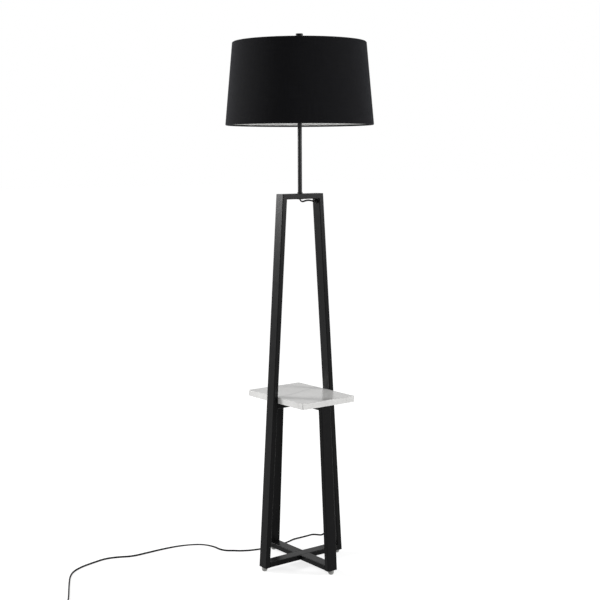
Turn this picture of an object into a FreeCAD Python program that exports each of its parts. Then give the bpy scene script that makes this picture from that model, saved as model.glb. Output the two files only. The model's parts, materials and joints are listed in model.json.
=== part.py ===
"""Shelf floor lamp: an open tube frame with a marble shelf, a post and a drum shade.

Millimetres. The origin is on the floor, midway between the four feet, and +Z is up.
The tall frame stands in the XZ plane: its front left leg is at -X and its back right leg at +X.
The short frame stands in the YZ plane: its front right leg is at -Y and its back left leg at +Y.
The shade turns on the stud above the harp, the knob turns on the socket, the two sleeves slide up
the harp, and each foot screws down out of its leg.
"""
import FreeCAD, Part
import math
import os

import Sketcher

Vector = FreeCAD.Vector
X_AXIS = Vector(1, 0, 0)
Y_AXIS = Vector(0, 1, 0)
Z_AXIS = Vector(0, 0, 1)

doc = FreeCAD.newDocument("ShelfFloorLamp")

# ---------------------------------------------------------------- driving dimensions, in millimetres
SIZES = {
    # shared: a broken edge on small turned pieces, and how far a cutting tool reaches past a face
    "edge_break": 0.8,
    "cutter_reach": 10.0,
    # frame of one flat tube
    "tube_width": 34.4,
    "tube_thickness": 15.7,
    "tube_wall": 1.5,
    "tube_corner": 2.0,
    "foot_gap": 12.0,
    "frame_height": 1113.0,
    "tall_foot_reach": 137.4,
    "tall_top_reach": 65.9,
    "short_foot_reach": 143.0,
    "short_top_reach": 113.2,
    "rail_top": 502.4,
    # end plugs, inserts and levelling feet
    "plug_height": 18.0,
    "fit_gap": 0.1,
    "running_gap": 0.05,
    "insert_radius": 4.0,
    "insert_height": 15.0,
    "stud_radius": 2.8,
    "stud_play": 0.2,
    "stud_top": 27.0,
    "stud_sink": 7.0,
    "glide_top_radius": 8.5,
    "glide_bottom_radius": 6.8,
    "glide_waist": 5.0,
    "glide_clearance": 0.3,
    # shelf
    "shelf_length": 270.0,
    "shelf_thickness": 18.0,
    "shelf_side_gap": 0.5,
    "shelf_corner": 2.5,
    "shelf_edge": 1.0,
    "screw_radius": 1.95,
    "screw_bite": 9.0,
    "screw_head_radius": 4.2,
    "screw_head_height": 2.6,
    "screw_reach_x": 62.0,
    "screw_reach_y": 80.0,
    "screw_play": 0.3,
    "nut_radius": 3.9,
    "nut_height": 11.0,
    # post
    "post_radius": 6.35,
    "post_length": 224.0,
    "collar_radius": 7.9,
    "collar_height": 4.2,
    "nipple_radius": 5.0,
    "nipple_bore": 3.6,
    "nipple_length": 24.0,
    "nipple_below": 9.0,
    "nipple_in_cap": 7.0,
    "lock_nut_flats": 13.0,
    "lock_nut_height": 4.0,
    "washer_radius": 7.2,
    "washer_height": 1.0,
    "access_radius": 8.6,
    "bushing_flange_radius": 9.4,
    "bushing_flange": 1.2,
    "bushing_inside": 2.0,
    # flat two-core cord
    "cord_width": 5.4,
    "cord_thickness": 2.7,
    "cord_play": 0.1,
    "lead_bend": 8.0,
    "lead_inside_bend": 5.2,
    "lead_dip": 7.6,
    "lead_hump_reach": 27.5,
    "lead_hump_drop": 4.4,
    "lead_join_above_exit": 45.0,
    "cord_first_run": 16.0,
    # strain reliefs in the back right leg
    "top_relief_drop": 7.5,
    "top_relief_flange_radius": 7.4,
    "top_relief_flange": 2.0,
    "top_relief_root_radius": 5.6,
    "top_relief_tip_radius": 3.6,
    "top_relief_nose": 9.0,
    "relief_neck_radius": 4.6,
    "relief_barb": 1.6,
    "exit_height": 51.0,
    "exit_flange_radius": 5.8,
    "exit_flange": 2.0,
    "exit_root_radius": 4.8,
    "exit_tip_radius": 3.5,
    "exit_nose": 18.0,
    "exit_bend": 12.0,
    # harp
    "harp_height": 203.2,
    "harp_wire": 1.8,
    "saddle_strip": 1.5,
    "saddle_width": 14.0,
    "saddle_half": 26.0,
    "saddle_shoulder": 14.0,
    "saddle_tab": 8.0,
    "saddle_tab_width": 4.6,
    "harp_foot_radius": 3.0,
    "harp_foot_length": 12.0,
    "sleeve_play": 0.2,
    "sleeve_wall": 0.7,
    "sleeve_length": 15.0,
    "harp_half": 56.0,
    "stud_base_radius": 7.0,
    "stud_base_height": 5.0,
    "finial_stud_radius": 3.1,
    "finial_stud_length": 14.0,
    # socket and bulb, measured up from the saddle's top face
    "cap_radius": 17.3,
    "cap_wall": 0.6,
    "cap_height": 16.0,
    "cap_floor": 1.2,
    "cap_foot_radius": 12.0,
    "cap_shoulder": 9.0,
    "shell_radius": 16.6,
    "shell_wall": 0.6,
    "shell_low": 10.0,
    "shell_high": 60.0,
    "liner_wall": 0.5,
    "liner_inset": 1.5,
    "moulding_low": 12.0,
    "moulding_high": 30.0,
    "screw_shell_bore": 13.3,
    "screw_shell_wall": 0.4,
    "screw_shell_height": 24.0,
    "contact_radius": 4.5,
    "contact_height": 1.5,
    "bulb_base_radius": 13.0,
    "bulb_base_height": 25.0,
    "bulb_wall": 0.8,
    "bulb_skin": 0.4,
    "bulb_radius": 30.0,
    "bulb_length": 110.0,
    "bulb_neck_radius": 12.4,
    "bulb_neck_depth": 6.0,
    "bulb_tip_radius": 4.0,
    "bulb_tip_rise": 3.0,
    "bulb_shoulder": 6.0,
    "knob_height": 21.0,
    "knob_radius": 6.2,
    "knob_length": 14.0,
    "knob_start": 21.0,
    "stem_radius": 1.5,
    "stem_sink": 4.0,
    "stem_play": 0.2,
    "flute_radius": 1.1,
    # shade and finial
    "shade_height": 236.8,
    "shade_bottom_radius": 215.9,
    "shade_top_radius": 193.85,
    "fabric": 0.8,
    "lining": 0.5,
    "skin_gap": 0.2,
    "ring_wire": 1.6,
    "hem_flap": 5.0,
    "fitter_drop": 7.2,
    "fitter_washer_radius": 13.5,
    "fitter_washer": 1.6,
    "fitter_arm": 1.6,
    "shade_play": 0.2,
    "finial_height": 29.8,
    "finial_radius": 10.5,
    "finial_low_radius": 9.6,
    "finial_neck_radius": 4.8,
    "finial_foot_radius": 7.0,
    "finial_foot_height": 3.0,
    "finial_neck_low": 5.0,
    "finial_neck_high": 9.0,
    "finial_drum_low": 11.5,
    # coil of the unseen cord, and the plug
    "coil_x": -725.5,
    "coil_y": 39.5,
    "coil_start_degrees": 149.0,
    "coil_lead_in": 27.0,
    "coil_outer_radius": 34.5,
    "coil_gap": 0.6,
    "coil_layer_turns": 1.375,
    "coil_climb_turns": 0.5,
    "plug_length": 30.0,
    "plug_width": 25.0,
    "plug_corner": 4.0,
    "plug_neck_length": 22.0,
    "plug_neck_wall": 0.6,
    "plug_neck_end": 6.7,
    "blade_length": 16.0,
    "blade_width": 6.35,
    "blade_thickness": 1.5,
    "blade_spacing": 12.7,
}
KNOB_FLUTES = 12
FITTER_ARMS = 3

# The harp's right half from its foot up: shares of its half width, and of its rise above the foot.
# The first point stands straight over the foot.
HARP_BOW = [(None, 0.20), (1.0, 0.52), (0.86, 0.88), (0.36, 1.0)]

# The free cord after its first run out of the exit strain relief, as far as its last run to the coil.
CORD_ROUTE = [
    (133.2, 69.5, 41.0),
    (134.2, 89.0, 33.8),
    (137.0, 109.5, 26.8),
    (140.2, 130.0, 20.2),
    (140.6, 149.0, 13.2),
    (134.0, 164.5, 7.2),
    (120.5, 174.0, 3.6),
    (101.0, 175.5, 2.7),
    (76.0, 166.0, 2.7),
    (40.0, 161.0, 2.7),
    (2.0, 160.2, 2.7),
    (-36.0, 162.5, 2.7),
    (-72.0, 172.0, 2.7),
    (-102.0, 191.0, 2.7),
    (-127.0, 214.0, 2.7),
    (-140.0, 244.0, 2.7),
    (-142.5, 278.0, 2.7),
    (-157.0, 311.0, 2.7),
    (-191.0, 336.0, 2.7),
    (-237.0, 347.5, 2.7),
    (-289.0, 350.5, 2.7),
    (-342.0, 349.2, 2.7),
    (-388.0, 351.0, 2.7),
    (-428.0, 372.0, 2.7),
    (-466.0, 380.5, 2.7),
    (-512.0, 371.0, 2.7),
    (-556.0, 359.0, 2.7),
    (-592.0, 336.0, 2.7),
    (-618.0, 305.0, 2.7),
    (-641.0, 266.0, 2.7),
    (-667.5, 218.0, 2.7),
    (-690.5, 170.5, 2.7),
    (-715.5, 133.0, 2.7),
]

sheet = doc.addObject("Spreadsheet::Sheet", "Sizes")
for row, (alias, value) in enumerate(SIZES.items(), start=1):
    sheet.set(f"A{row}", alias.replace("_", " "))
    sheet.set(f"B{row}", str(value))
    sheet.setAlias(f"B{row}", alias)
doc.recompute()

# ---------------------------------------------------------------- sizes that follow from them
FOLLOWING = {
    "tall_slope": "(Sizes.tall_foot_reach - Sizes.tall_top_reach) / (Sizes.frame_height - Sizes.foot_gap)",
    "short_slope": "(Sizes.short_foot_reach - Sizes.short_top_reach) / (Sizes.rail_top - Sizes.foot_gap)",
    "tall_stretch": "sqrt(1 + Places.tall_slope ^ 2)",
    "short_stretch": "sqrt(1 + Places.short_slope ^ 2)",
    "shelf_top": "Sizes.rail_top + Sizes.shelf_thickness",
    "shelf_width": "2 * (Sizes.tall_foot_reach - Places.tall_slope * (Places.shelf_top - Sizes.foot_gap)"
    " - Sizes.tube_thickness / 2 * Places.tall_stretch - Sizes.shelf_side_gap)",
    "crossbar_low": "Sizes.frame_height - Sizes.tube_thickness",
    "top_relief_height": "Places.crossbar_low - Sizes.top_relief_drop",
    "post_top": "Sizes.frame_height + Sizes.post_length",
    "post_bore": "Sizes.nipple_radius + Sizes.running_gap",
    "saddle_top": "Places.post_top + Sizes.saddle_strip",
    "washer_low": "Places.post_top + Sizes.harp_height + Sizes.shade_play",
    "washer_high": "Places.washer_low + Sizes.fitter_washer",
    "shade_top": "Places.washer_low + Sizes.fitter_drop",
    "shade_low": "Places.shade_top - Sizes.shade_height",
    "shade_slope": "(Sizes.shade_bottom_radius - Sizes.shade_top_radius) / Sizes.shade_height",
    "hem_fold": "2 * Sizes.fabric + Sizes.lining + 2 * Sizes.ring_wire + 4 * Sizes.skin_gap",
    "cord_bore": "Sizes.cord_width / 2 + Sizes.cord_play",
    "insert_bore": "Sizes.stud_radius + Sizes.stud_play",
    "liner_radius": "Sizes.shell_radius - Sizes.shell_wall - Sizes.fit_gap * 2",
    "moulding_radius": "Places.liner_radius - Sizes.liner_wall - Sizes.fit_gap * 4",
    "sleeve_bore": "Sizes.harp_foot_radius + Sizes.sleeve_play",
    "harp_foot_low": "Places.saddle_top + Sizes.saddle_shoulder + Sizes.saddle_tab",
    "harp_wire_top": "Places.post_top + Sizes.harp_height - Sizes.stud_base_height / 2",
    "finial_low": "Places.washer_high + Sizes.shade_play",
    "cord_radius": "Sizes.cord_width / 2",
    "coil_pitch": "Sizes.cord_width + Sizes.coil_gap",
}
places = doc.addObject("App::VarSet", "Places")
for name, formula in FOLLOWING.items():
    places.addProperty("App::PropertyFloat", name)
    places.setExpression(name, formula)
    doc.recompute()


def size(name):
    """The number in a cell of the sheet."""
    return float(sheet.get(name))


def worked_out(formula):
    """The number that a formula of the sheet's and the worked-out sizes gives."""
    return float(places.evalExpression(formula))


# ---------------------------------------------------------------- how pieces are made
def origin_plane(body, role):
    return next(feature for feature in body.Origin.OriginFeatures if feature.Role == role)


def bound_point(sketch, line, across, up):
    """Holds the start of a sketch line at two formulas, measured from the sketch's origin."""
    for kind, formula, axis in (("DistanceX", across, -2), ("DistanceY", up, -1)):
        if formula == "0":
            sketch.addConstraint(Sketcher.Constraint("PointOnObject", line, 1, axis))
            continue
        index = sketch.addConstraint(Sketcher.Constraint(kind, -1, 1, line, 1, worked_out(formula)))
        sketch.setExpression(f"Constraints[{index}]", formula)


def outline(body, role, corners):
    """A closed sketch of straight lines through corners, each a pair of formulas."""
    sketch = body.newObject("Sketcher::SketchObject", "Outline")
    sketch.AttachmentSupport = [(origin_plane(body, role), "")]
    sketch.MapMode = "FlatFace"
    points = [Vector(worked_out(across), worked_out(up), 0) for across, up in corners]
    following = points[1:] + points[:1]
    for start, end in zip(points, following):
        sketch.addGeometry(Part.LineSegment(start, end))
    for line in range(len(corners)):
        sketch.addConstraint(Sketcher.Constraint("Coincident", line, 2, (line + 1) % len(corners), 1))
    for line, (across, up) in enumerate(corners):
        bound_point(sketch, line, across, up)
    return sketch


def new_body(label):
    body = doc.addObject("PartDesign::Body", label)
    body.Label = label
    return body


def turned(label, profile):
    """A body turned about its own Z axis from a closed profile of (radius, height) formulas."""
    body = new_body(label)
    sketch = outline(body, "XZ_Plane", profile)
    turn = body.newObject("PartDesign::Revolution", "Turn")
    turn.Profile = sketch
    turn.ReferenceAxis = (sketch, ["V_Axis"])
    turn.Angle = 360
    body.Tip = turn
    doc.recompute()
    return body


def ring_profile(bore, radius, low, high):
    return [(bore, low), (radius, low), (radius, high), (bore, high)]


def placed(piece, x="0", y="0", z="0", axis=None, angle="0"):
    """Puts a piece at three formulas, after turning it about an axis by a formula in degrees."""
    if axis is not None:
        piece.Placement = FreeCAD.Placement(Vector(), FreeCAD.Rotation(axis, worked_out(angle)))
    for coordinate, formula in (("x", x), ("y", y), ("z", z)):
        piece.setExpression(f"Placement.Base.{coordinate}", formula)
    doc.recompute()
    return piece


def cylinder(name, radius, height, **place):
    rod = doc.addObject("Part::Cylinder", name)
    rod.setExpression("Radius", radius)
    rod.setExpression("Height", height)
    return placed(rod, **place)


def block(name, length, width, height, **place):
    """A box whose X and Y middle and whose underside lie at the placement."""
    box = doc.addObject("Part::Box", name)
    box.setExpression("Length", length)
    box.setExpression("Width", width)
    box.setExpression("Height", height)
    place["x"] = f"{place.get('x', '0')} - ({length}) / 2"
    place["y"] = f"{place.get('y', '0')} - ({width}) / 2"
    return placed(box, **place)


def joined(label, members):
    """Several shapes fused into one piece."""
    fuse = doc.addObject("Part::MultiFuse", label)
    fuse.Shapes = members
    fuse.Label = label
    doc.recompute()
    return fuse


def holed(label, base, tools):
    """A piece with the tools' shapes cut out of it, each of which has to meet the piece."""
    base.Label = label + "_blank"
    tool = tools[0]
    if len(tools) > 1:
        tool = doc.addObject("Part::Compound", label + "_tools")
        tool.Links = tools
    doc.recompute()
    for cutter in tools:
        if base.Shape.common(cutter.Shape).Volume < 1e-6:
            raise RuntimeError(f"{label}: {cutter.Label} cuts nothing")
    cut = doc.addObject("Part::Cut", label)
    cut.Base = base
    cut.Tool = tool
    cut.Label = label
    doc.recompute()
    return cut


def grouped(label, members):
    """Identical pieces that share one node, as separate solids."""
    group = doc.addObject("Part::Compound", label)
    group.Links = members
    group.Label = label
    doc.recompute()
    return group


def shaped(label, shape):
    """A piece whose shape is swept along a path."""
    feature = doc.addObject("Part::Feature", label)
    feature.Shape = shape
    feature.Placement = FreeCAD.Placement()
    feature.Label = label
    return feature


SUBPARTS = []


def keep(piece):
    SUBPARTS.append(piece)
    return piece


# ---------------------------------------------------------------- the frame's tubes
FRAME_TOP = {"tall": "Sizes.frame_height", "short": "Sizes.rail_top"}
FRAME_PLANE = {"tall": "XZ_Plane", "short": "YZ_Plane"}


def leg_centre(frame, height):
    """How far a leg's centreline is from the lamp's axis at a height."""
    return f"(Sizes.{frame}_foot_reach - Places.{frame}_slope * ({height} - Sizes.foot_gap))"


def leg_half(frame, inset):
    """Half the leg's thickness on the level, less an inset square to its faces."""
    return f"((Sizes.tube_thickness / 2 - {inset}) * Places.{frame}_stretch)"


def leg_inner(frame, height):
    """How far a leg's inner face is from the lamp's axis at a height."""
    return f"({leg_centre(frame, height)} - {leg_half(frame, '0')})"


def leg_corners(frame, side, inset):
    """A leg's outline in its frame's plane, mitred to the top bar."""
    top = f"({FRAME_TOP[frame]} - {inset})"
    under = f"({FRAME_TOP[frame]} - Sizes.tube_thickness + {inset})"
    half = leg_half(frame, inset)
    foot = leg_centre(frame, "Sizes.foot_gap")
    return [
        (f"{side} * ({foot} - {half})", "Sizes.foot_gap"),
        (f"{side} * ({foot} + {half})", "Sizes.foot_gap"),
        (f"{side} * ({leg_centre(frame, top)} + {half})", top),
        (f"{side} * ({leg_centre(frame, under)} - {half})", under),
    ]


def top_bar_corners(frame, inset):
    """The top bar's outline in its frame's plane, mitred to both legs."""
    top = f"({FRAME_TOP[frame]} - {inset})"
    under = f"({FRAME_TOP[frame]} - Sizes.tube_thickness + {inset})"
    long_half = f"({leg_centre(frame, top)} + {leg_half(frame, inset)})"
    short_half = f"({leg_centre(frame, under)} - {leg_half(frame, inset)})"
    return [
        (f"-{short_half}", under),
        (short_half, under),
        (long_half, top),
        (f"-{long_half}", top),
    ]


def bar_corners(frame, low, inset, side=0):
    """A level bar between the legs' inner faces (side 0), or from the crossing bar's side to one leg."""
    under = f"({low} + {inset})"
    top = f"({low} + Sizes.tube_thickness - {inset})"
    if side == 0:
        return [
            (f"-{leg_inner(frame, under)}", under),
            (leg_inner(frame, under), under),
            (leg_inner(frame, top), top),
            (f"-{leg_inner(frame, top)}", top),
        ]
    return [
        (f"{side} * Sizes.tube_width / 2", under),
        (f"{side} * {leg_inner(frame, under)}", under),
        (f"{side} * {leg_inner(frame, top)}", top),
        (f"{side} * Sizes.tube_width / 2", top),
    ]


def tube(label, frame, corners_at):
    """A flat tube: an outline padded to its width, rounded along its length and hollowed end to end."""
    body = new_body(label)
    pad = body.newObject("PartDesign::Pad", "Blank")
    pad.Profile = outline(body, FRAME_PLANE[frame], corners_at("0"))
    pad.SideType = "Symmetric"
    pad.setExpression("Length", "Sizes.tube_width")
    doc.recompute()
    long_edges = [
        f"Edge{number}"
        for number, edge in enumerate(pad.Shape.Edges, start=1)
        if edge.Length > 1.3 * size("tube_width")
    ]
    rounding = body.newObject("PartDesign::Fillet", "Corners")
    rounding.Base = (pad, long_edges)
    rounding.setExpression("Radius", "Sizes.tube_corner")
    doc.recompute()
    full = rounding.Shape.Volume
    hollow = body.newObject("PartDesign::Pocket", "Hollow")
    hollow.Profile = outline(body, FRAME_PLANE[frame], corners_at("Sizes.tube_wall"))
    hollow.SideType = "Symmetric"
    hollow.setExpression("Length", "Sizes.tube_width - 2 * Sizes.tube_wall")
    body.Tip = hollow
    doc.recompute()
    if not body.Shape.Volume < 0.6 * full:
        raise RuntimeError(f"{label}: the tube isn't hollow")
    return body


def make_frame():
    """Two legs and a top bar for each frame, and the level bars that tie them."""
    keep(tube("tall_leg_front_left", "tall", lambda inset: leg_corners("tall", -1, inset)))
    back_right = tube("tall_leg_back_right", "tall", lambda inset: leg_corners("tall", 1, inset))
    relief_z = "Places.top_relief_height"
    lean = "atan(Places.tall_slope)"
    top_hole = cylinder(
        "top_relief_hole",
        "Sizes.relief_neck_radius + Sizes.fit_gap",
        "Sizes.tube_thickness",
        x=f"{leg_inner('tall', relief_z)} - Sizes.tube_thickness / 2",
        z=f"{relief_z} - Sizes.tube_thickness / 2 * Places.tall_slope",
        axis=Y_AXIS,
        angle=f"90 - {lean} / 1 deg",
    )
    exit_hole = cylinder(
        "exit_relief_hole",
        "Sizes.relief_neck_radius + Sizes.fit_gap",
        "Sizes.tube_width / 2",
        x=leg_centre("tall", "Sizes.exit_height"),
        y="Sizes.tube_width / 2 + Sizes.cutter_reach",
        z="Sizes.exit_height",
        axis=X_AXIS,
        angle="90",
    )
    keep(holed("tall_leg_back_right", back_right, [top_hole, exit_hole]))
    crossbar = tube("top_crossbar", "tall", lambda inset: top_bar_corners("tall", inset))
    half = "Sizes.tube_thickness / 2"
    nipple_hole = cylinder(
        "nipple_hole",
        "Sizes.nipple_radius + Sizes.fit_gap",
        "Sizes.tube_thickness",
        z=f"Sizes.frame_height - {half}",
    )
    access_hole = cylinder(
        "access_hole", "Sizes.access_radius", "Sizes.tube_thickness", z=f"Places.crossbar_low - {half}"
    )
    keep(holed("top_crossbar", crossbar, [nipple_hole, access_hole]))

    keep(tube("short_leg_front_right", "short", lambda inset: leg_corners("short", -1, inset)))
    keep(tube("short_leg_back_left", "short", lambda inset: leg_corners("short", 1, inset)))
    short_top = tube("short_top_bar", "short", lambda inset: top_bar_corners("short", inset))
    short_top_holes = [screw_hole("0", f"{sign}Sizes.screw_reach_y") for sign in ("", "-")]
    keep(holed("short_top_bar", short_top, short_top_holes))
    rail_low = "(Sizes.rail_top - Sizes.tube_thickness)"
    for label, side in (("shelf_rail_front_left", -1), ("shelf_rail_back_right", 1)):
        rail = tube(label, "tall", lambda inset: bar_corners("tall", rail_low, inset, side))
        keep(holed(label, rail, [screw_hole(f"{side} * Sizes.screw_reach_x", "0")]))

    keep(tube("base_bar_through", "tall", lambda inset: bar_corners("tall", "Sizes.foot_gap", inset)))
    for label, side in (("base_bar_front_right", -1), ("base_bar_back_left", 1)):
        half_bar = tube(label, "short", lambda inset: bar_corners("short", "Sizes.foot_gap", inset, side))
        keep(half_bar)


def screw_hole(x, y):
    """A clear hole right through a rail for one of the shelf's screws."""
    return cylinder(
        "screw_hole",
        "Sizes.screw_radius + Sizes.screw_play",
        "3 * Sizes.tube_thickness",
        x=x,
        y=y,
        z="Sizes.rail_top - 2 * Sizes.tube_thickness",
    )


# ---------------------------------------------------------------- feet
LEGS = [
    ("front_left", "tall", -1),
    ("back_right", "tall", 1),
    ("front_right", "short", -1),
    ("back_left", "short", 1),
]


def leg_place(frame, side):
    """X and Y of a leg's foot."""
    reach = f"{side} * Sizes.{frame}_foot_reach"
    return {"x": reach} if frame == "tall" else {"y": reach}


def end_plug(frame, side):
    """A plastic block that fills the end of a leg, with a hole for its threaded insert."""
    inset = "(Sizes.tube_wall + Sizes.fit_gap)"
    top = "(Sizes.foot_gap + Sizes.plug_height)"
    half = leg_half(frame, inset)
    foot = leg_centre(frame, "Sizes.foot_gap")
    head = leg_centre(frame, top)
    body = new_body(f"end_plug_block_{frame}_{side}")
    pad = body.newObject("PartDesign::Pad", "Blank")
    pad.Profile = outline(
        body,
        FRAME_PLANE[frame],
        [
            (f"{side} * ({foot} - {half})", "Sizes.foot_gap"),
            (f"{side} * ({foot} + {half})", "Sizes.foot_gap"),
            (f"{side} * ({head} + {half})", top),
            (f"{side} * ({head} - {half})", top),
        ],
    )
    pad.SideType = "Symmetric"
    pad.setExpression("Length", f"Sizes.tube_width - 2 * {inset}")
    doc.recompute()
    bore = cylinder(
        "insert_hole",
        "Sizes.insert_radius + Sizes.running_gap",
        "2 * Sizes.plug_height",
        z="Sizes.foot_gap - Sizes.plug_height / 4",
        **leg_place(frame, side),
    )
    return holed(f"end_plug_{frame}_{side}", body, [bore])


def make_feet():
    """End plugs, threaded inserts, and a levelling foot in each leg."""
    keep(grouped("leg_end_plugs", [end_plug(frame, side) for _, frame, side in LEGS]))
    inserts = []
    for name, frame, side in LEGS:
        thread = ring_profile("Places.insert_bore", "Sizes.insert_radius", "0", "Sizes.insert_height")
        insert = turned(f"leg_insert_{name}", thread)
        inserts.append(placed(insert, z="Sizes.foot_gap", **leg_place(frame, side)))
    keep(grouped("leg_inserts", inserts))
    glide_top = "Sizes.foot_gap - Sizes.glide_clearance"
    for name, frame, side in LEGS:
        glide = turned(
            f"foot_glide_{name}",
            [
                ("0", "0"),
                ("Sizes.glide_bottom_radius - Sizes.edge_break", "0"),
                ("Sizes.glide_bottom_radius", "Sizes.edge_break"),
                ("Sizes.glide_top_radius", "Sizes.glide_waist"),
                ("Sizes.glide_top_radius", f"{glide_top} - Sizes.edge_break"),
                ("Sizes.glide_top_radius - Sizes.edge_break", glide_top),
                ("Sizes.stud_radius", glide_top),
                ("Sizes.stud_radius", f"{glide_top} - Sizes.stud_sink"),
                ("0", f"{glide_top} - Sizes.stud_sink"),
            ],
        )
        keep(placed(glide, **leg_place(frame, side)))
        stud = turned(
            f"foot_stud_{name}",
            [
                ("0", f"{glide_top} - Sizes.stud_sink"),
                ("Sizes.stud_radius", f"{glide_top} - Sizes.stud_sink"),
                ("Sizes.stud_radius", "Sizes.stud_top - Sizes.edge_break"),
                ("Sizes.stud_radius - Sizes.edge_break", "Sizes.stud_top"),
                ("0", "Sizes.stud_top"),
            ],
        )
        keep(placed(stud, **leg_place(frame, side)))


# ---------------------------------------------------------------- shelf
SHELF_SCREWS = [
    ("Sizes.screw_reach_x", "0"),
    ("-Sizes.screw_reach_x", "0"),
    ("0", "Sizes.screw_reach_y"),
    ("0", "-Sizes.screw_reach_y"),
]


def make_shelf():
    """The marble slab, four inserts in its underside and the screws that come up through the rails."""
    body = new_body("shelf_slab")
    pad = body.newObject("PartDesign::Pad", "Slab")
    pad.Profile = outline(
        body,
        "XY_Plane",
        [
            ("-Places.shelf_width / 2", "-Sizes.shelf_length / 2"),
            ("Places.shelf_width / 2", "-Sizes.shelf_length / 2"),
            ("Places.shelf_width / 2", "Sizes.shelf_length / 2"),
            ("-Places.shelf_width / 2", "Sizes.shelf_length / 2"),
        ],
    )
    pad.setExpression("Length", "Sizes.shelf_thickness")
    doc.recompute()
    upright = [
        f"Edge{number}"
        for number, edge in enumerate(pad.Shape.Edges, start=1)
        if abs(edge.tangentAt(edge.FirstParameter).z) > 0.9
    ]
    corners = body.newObject("PartDesign::Fillet", "Corners")
    corners.Base = (pad, upright)
    corners.setExpression("Radius", "Sizes.shelf_corner")
    doc.recompute()
    level = [
        f"Edge{number}"
        for number, edge in enumerate(corners.Shape.Edges, start=1)
        if abs(edge.tangentAt(edge.FirstParameter).z) < 0.1
    ]
    easing = body.newObject("PartDesign::Fillet", "EasedEdges")
    easing.Base = (corners, level)
    easing.setExpression("Radius", "Sizes.shelf_edge")
    body.Tip = easing
    placed(body, z="Sizes.rail_top")
    sockets = [
        cylinder(
            "slab_hole",
            "Sizes.nut_radius + Sizes.running_gap",
            "2 * Sizes.nut_height",
            x=x,
            y=y,
            z="Sizes.rail_top - Sizes.nut_height",
        )
        for x, y in SHELF_SCREWS
    ]
    keep(holed("shelf_slab", body, sockets))
    nuts = []
    screws = []
    rail_low = "Sizes.rail_top - Sizes.tube_thickness"
    for x, y in SHELF_SCREWS:
        bore = "Sizes.screw_radius + Sizes.running_gap"
        nut = turned("slab_insert", ring_profile(bore, "Sizes.nut_radius", "0", "Sizes.nut_height"))
        nuts.append(placed(nut, x=x, y=y, z="Sizes.rail_top"))
        screw = turned(
            "slab_screw",
            [
                ("0", "-Sizes.screw_head_height"),
                ("Sizes.screw_head_radius - Sizes.screw_head_height / 2", "-Sizes.screw_head_height"),
                ("Sizes.screw_head_radius", "-Sizes.screw_head_height / 2"),
                ("Sizes.screw_head_radius", "0"),
                ("Sizes.screw_radius", "0"),
                ("Sizes.screw_radius", "Sizes.tube_thickness + Sizes.screw_bite"),
                ("0", "Sizes.tube_thickness + Sizes.screw_bite"),
            ],
        )
        screws.append(placed(screw, x=x, y=y, z=rail_low))
    keep(grouped("slab_inserts", nuts))
    keep(grouped("slab_screws", screws))


# ---------------------------------------------------------------- post
def make_post():
    """The post on the crossbar, the nipples that hold it and the socket, and the bushing underneath."""
    post = turned("post", ring_profile("Places.post_bore", "Sizes.post_radius", "0", "Sizes.post_length"))
    keep(placed(post, z="Sizes.frame_height"))
    collar = turned(
        "post_collar",
        [
            ("Sizes.post_radius + Sizes.running_gap", "0"),
            ("Sizes.collar_radius", "0"),
            ("Sizes.collar_radius", "Sizes.collar_height - Sizes.edge_break"),
            ("Sizes.collar_radius - Sizes.edge_break", "Sizes.collar_height"),
            ("Sizes.post_radius + Sizes.running_gap", "Sizes.collar_height"),
        ],
    )
    keep(placed(collar, z="Sizes.frame_height"))
    nipples = []
    lower = "Sizes.frame_height - Sizes.nipple_below"
    upper = "Places.saddle_top + Sizes.nipple_in_cap - Sizes.nipple_length"
    for z in (lower, upper):
        thread = ring_profile("Sizes.nipple_bore", "Sizes.nipple_radius", "0", "Sizes.nipple_length")
        nipple = turned("nipple", thread)
        nipples.append(placed(nipple, z=z))
    keep(grouped("threaded_nipples", nipples))
    bore = "Sizes.nipple_radius + Sizes.fit_gap"
    washer = turned("lock_washer", ring_profile(bore, "Sizes.washer_radius", "0", "Sizes.washer_height"))
    keep(placed(washer, z="Sizes.frame_height - Sizes.tube_wall - Sizes.washer_height"))
    hexagon = doc.addObject("Part::Prism", "lock_nut_hexagon")
    hexagon.Polygon = 6
    hexagon.setExpression("Circumradius", "Sizes.lock_nut_flats / 2 / cos(30 deg)")
    hexagon.setExpression("Height", "Sizes.lock_nut_height")
    nut_low = "Sizes.frame_height - Sizes.tube_wall - Sizes.washer_height - Sizes.lock_nut_height"
    placed(hexagon, z=nut_low)
    bore = cylinder(
        "lock_nut_bore",
        "Sizes.nipple_radius + Sizes.running_gap",
        "3 * Sizes.lock_nut_height",
        z=f"{nut_low} - Sizes.lock_nut_height",
    )
    keep(holed("lock_nut", hexagon, [bore]))
    bushing = turned(
        "crossbar_bushing",
        [
            ("Places.cord_bore", "-Sizes.bushing_flange"),
            ("Sizes.bushing_flange_radius - Sizes.edge_break", "-Sizes.bushing_flange"),
            ("Sizes.bushing_flange_radius", "-Sizes.bushing_flange + Sizes.edge_break"),
            ("Sizes.bushing_flange_radius", "0"),
            ("Sizes.access_radius - Sizes.running_gap", "0"),
            ("Sizes.access_radius - Sizes.running_gap", "Sizes.tube_wall + Sizes.bushing_inside"),
            ("Places.cord_bore", "Sizes.tube_wall + Sizes.bushing_inside"),
        ],
    )
    keep(placed(bushing, z="Places.crossbar_low"))


# ---------------------------------------------------------------- paths for cords and wires
def arc_through(start, direction, end):
    """A round arc that leaves start in a direction and reaches end."""
    chord = end - start
    along = Vector(chord).normalize()
    swing = direction.getAngle(along)
    rise = direction - along * direction.dot(along)
    if rise.Length < 1e-7:
        return Part.LineSegment(start, end).toShape()
    middle = (start + end) * 0.5 + rise.normalize() * (chord.Length / 2 * math.tan(swing / 2))
    return Part.Arc(start, middle, end).toShape()


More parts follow.
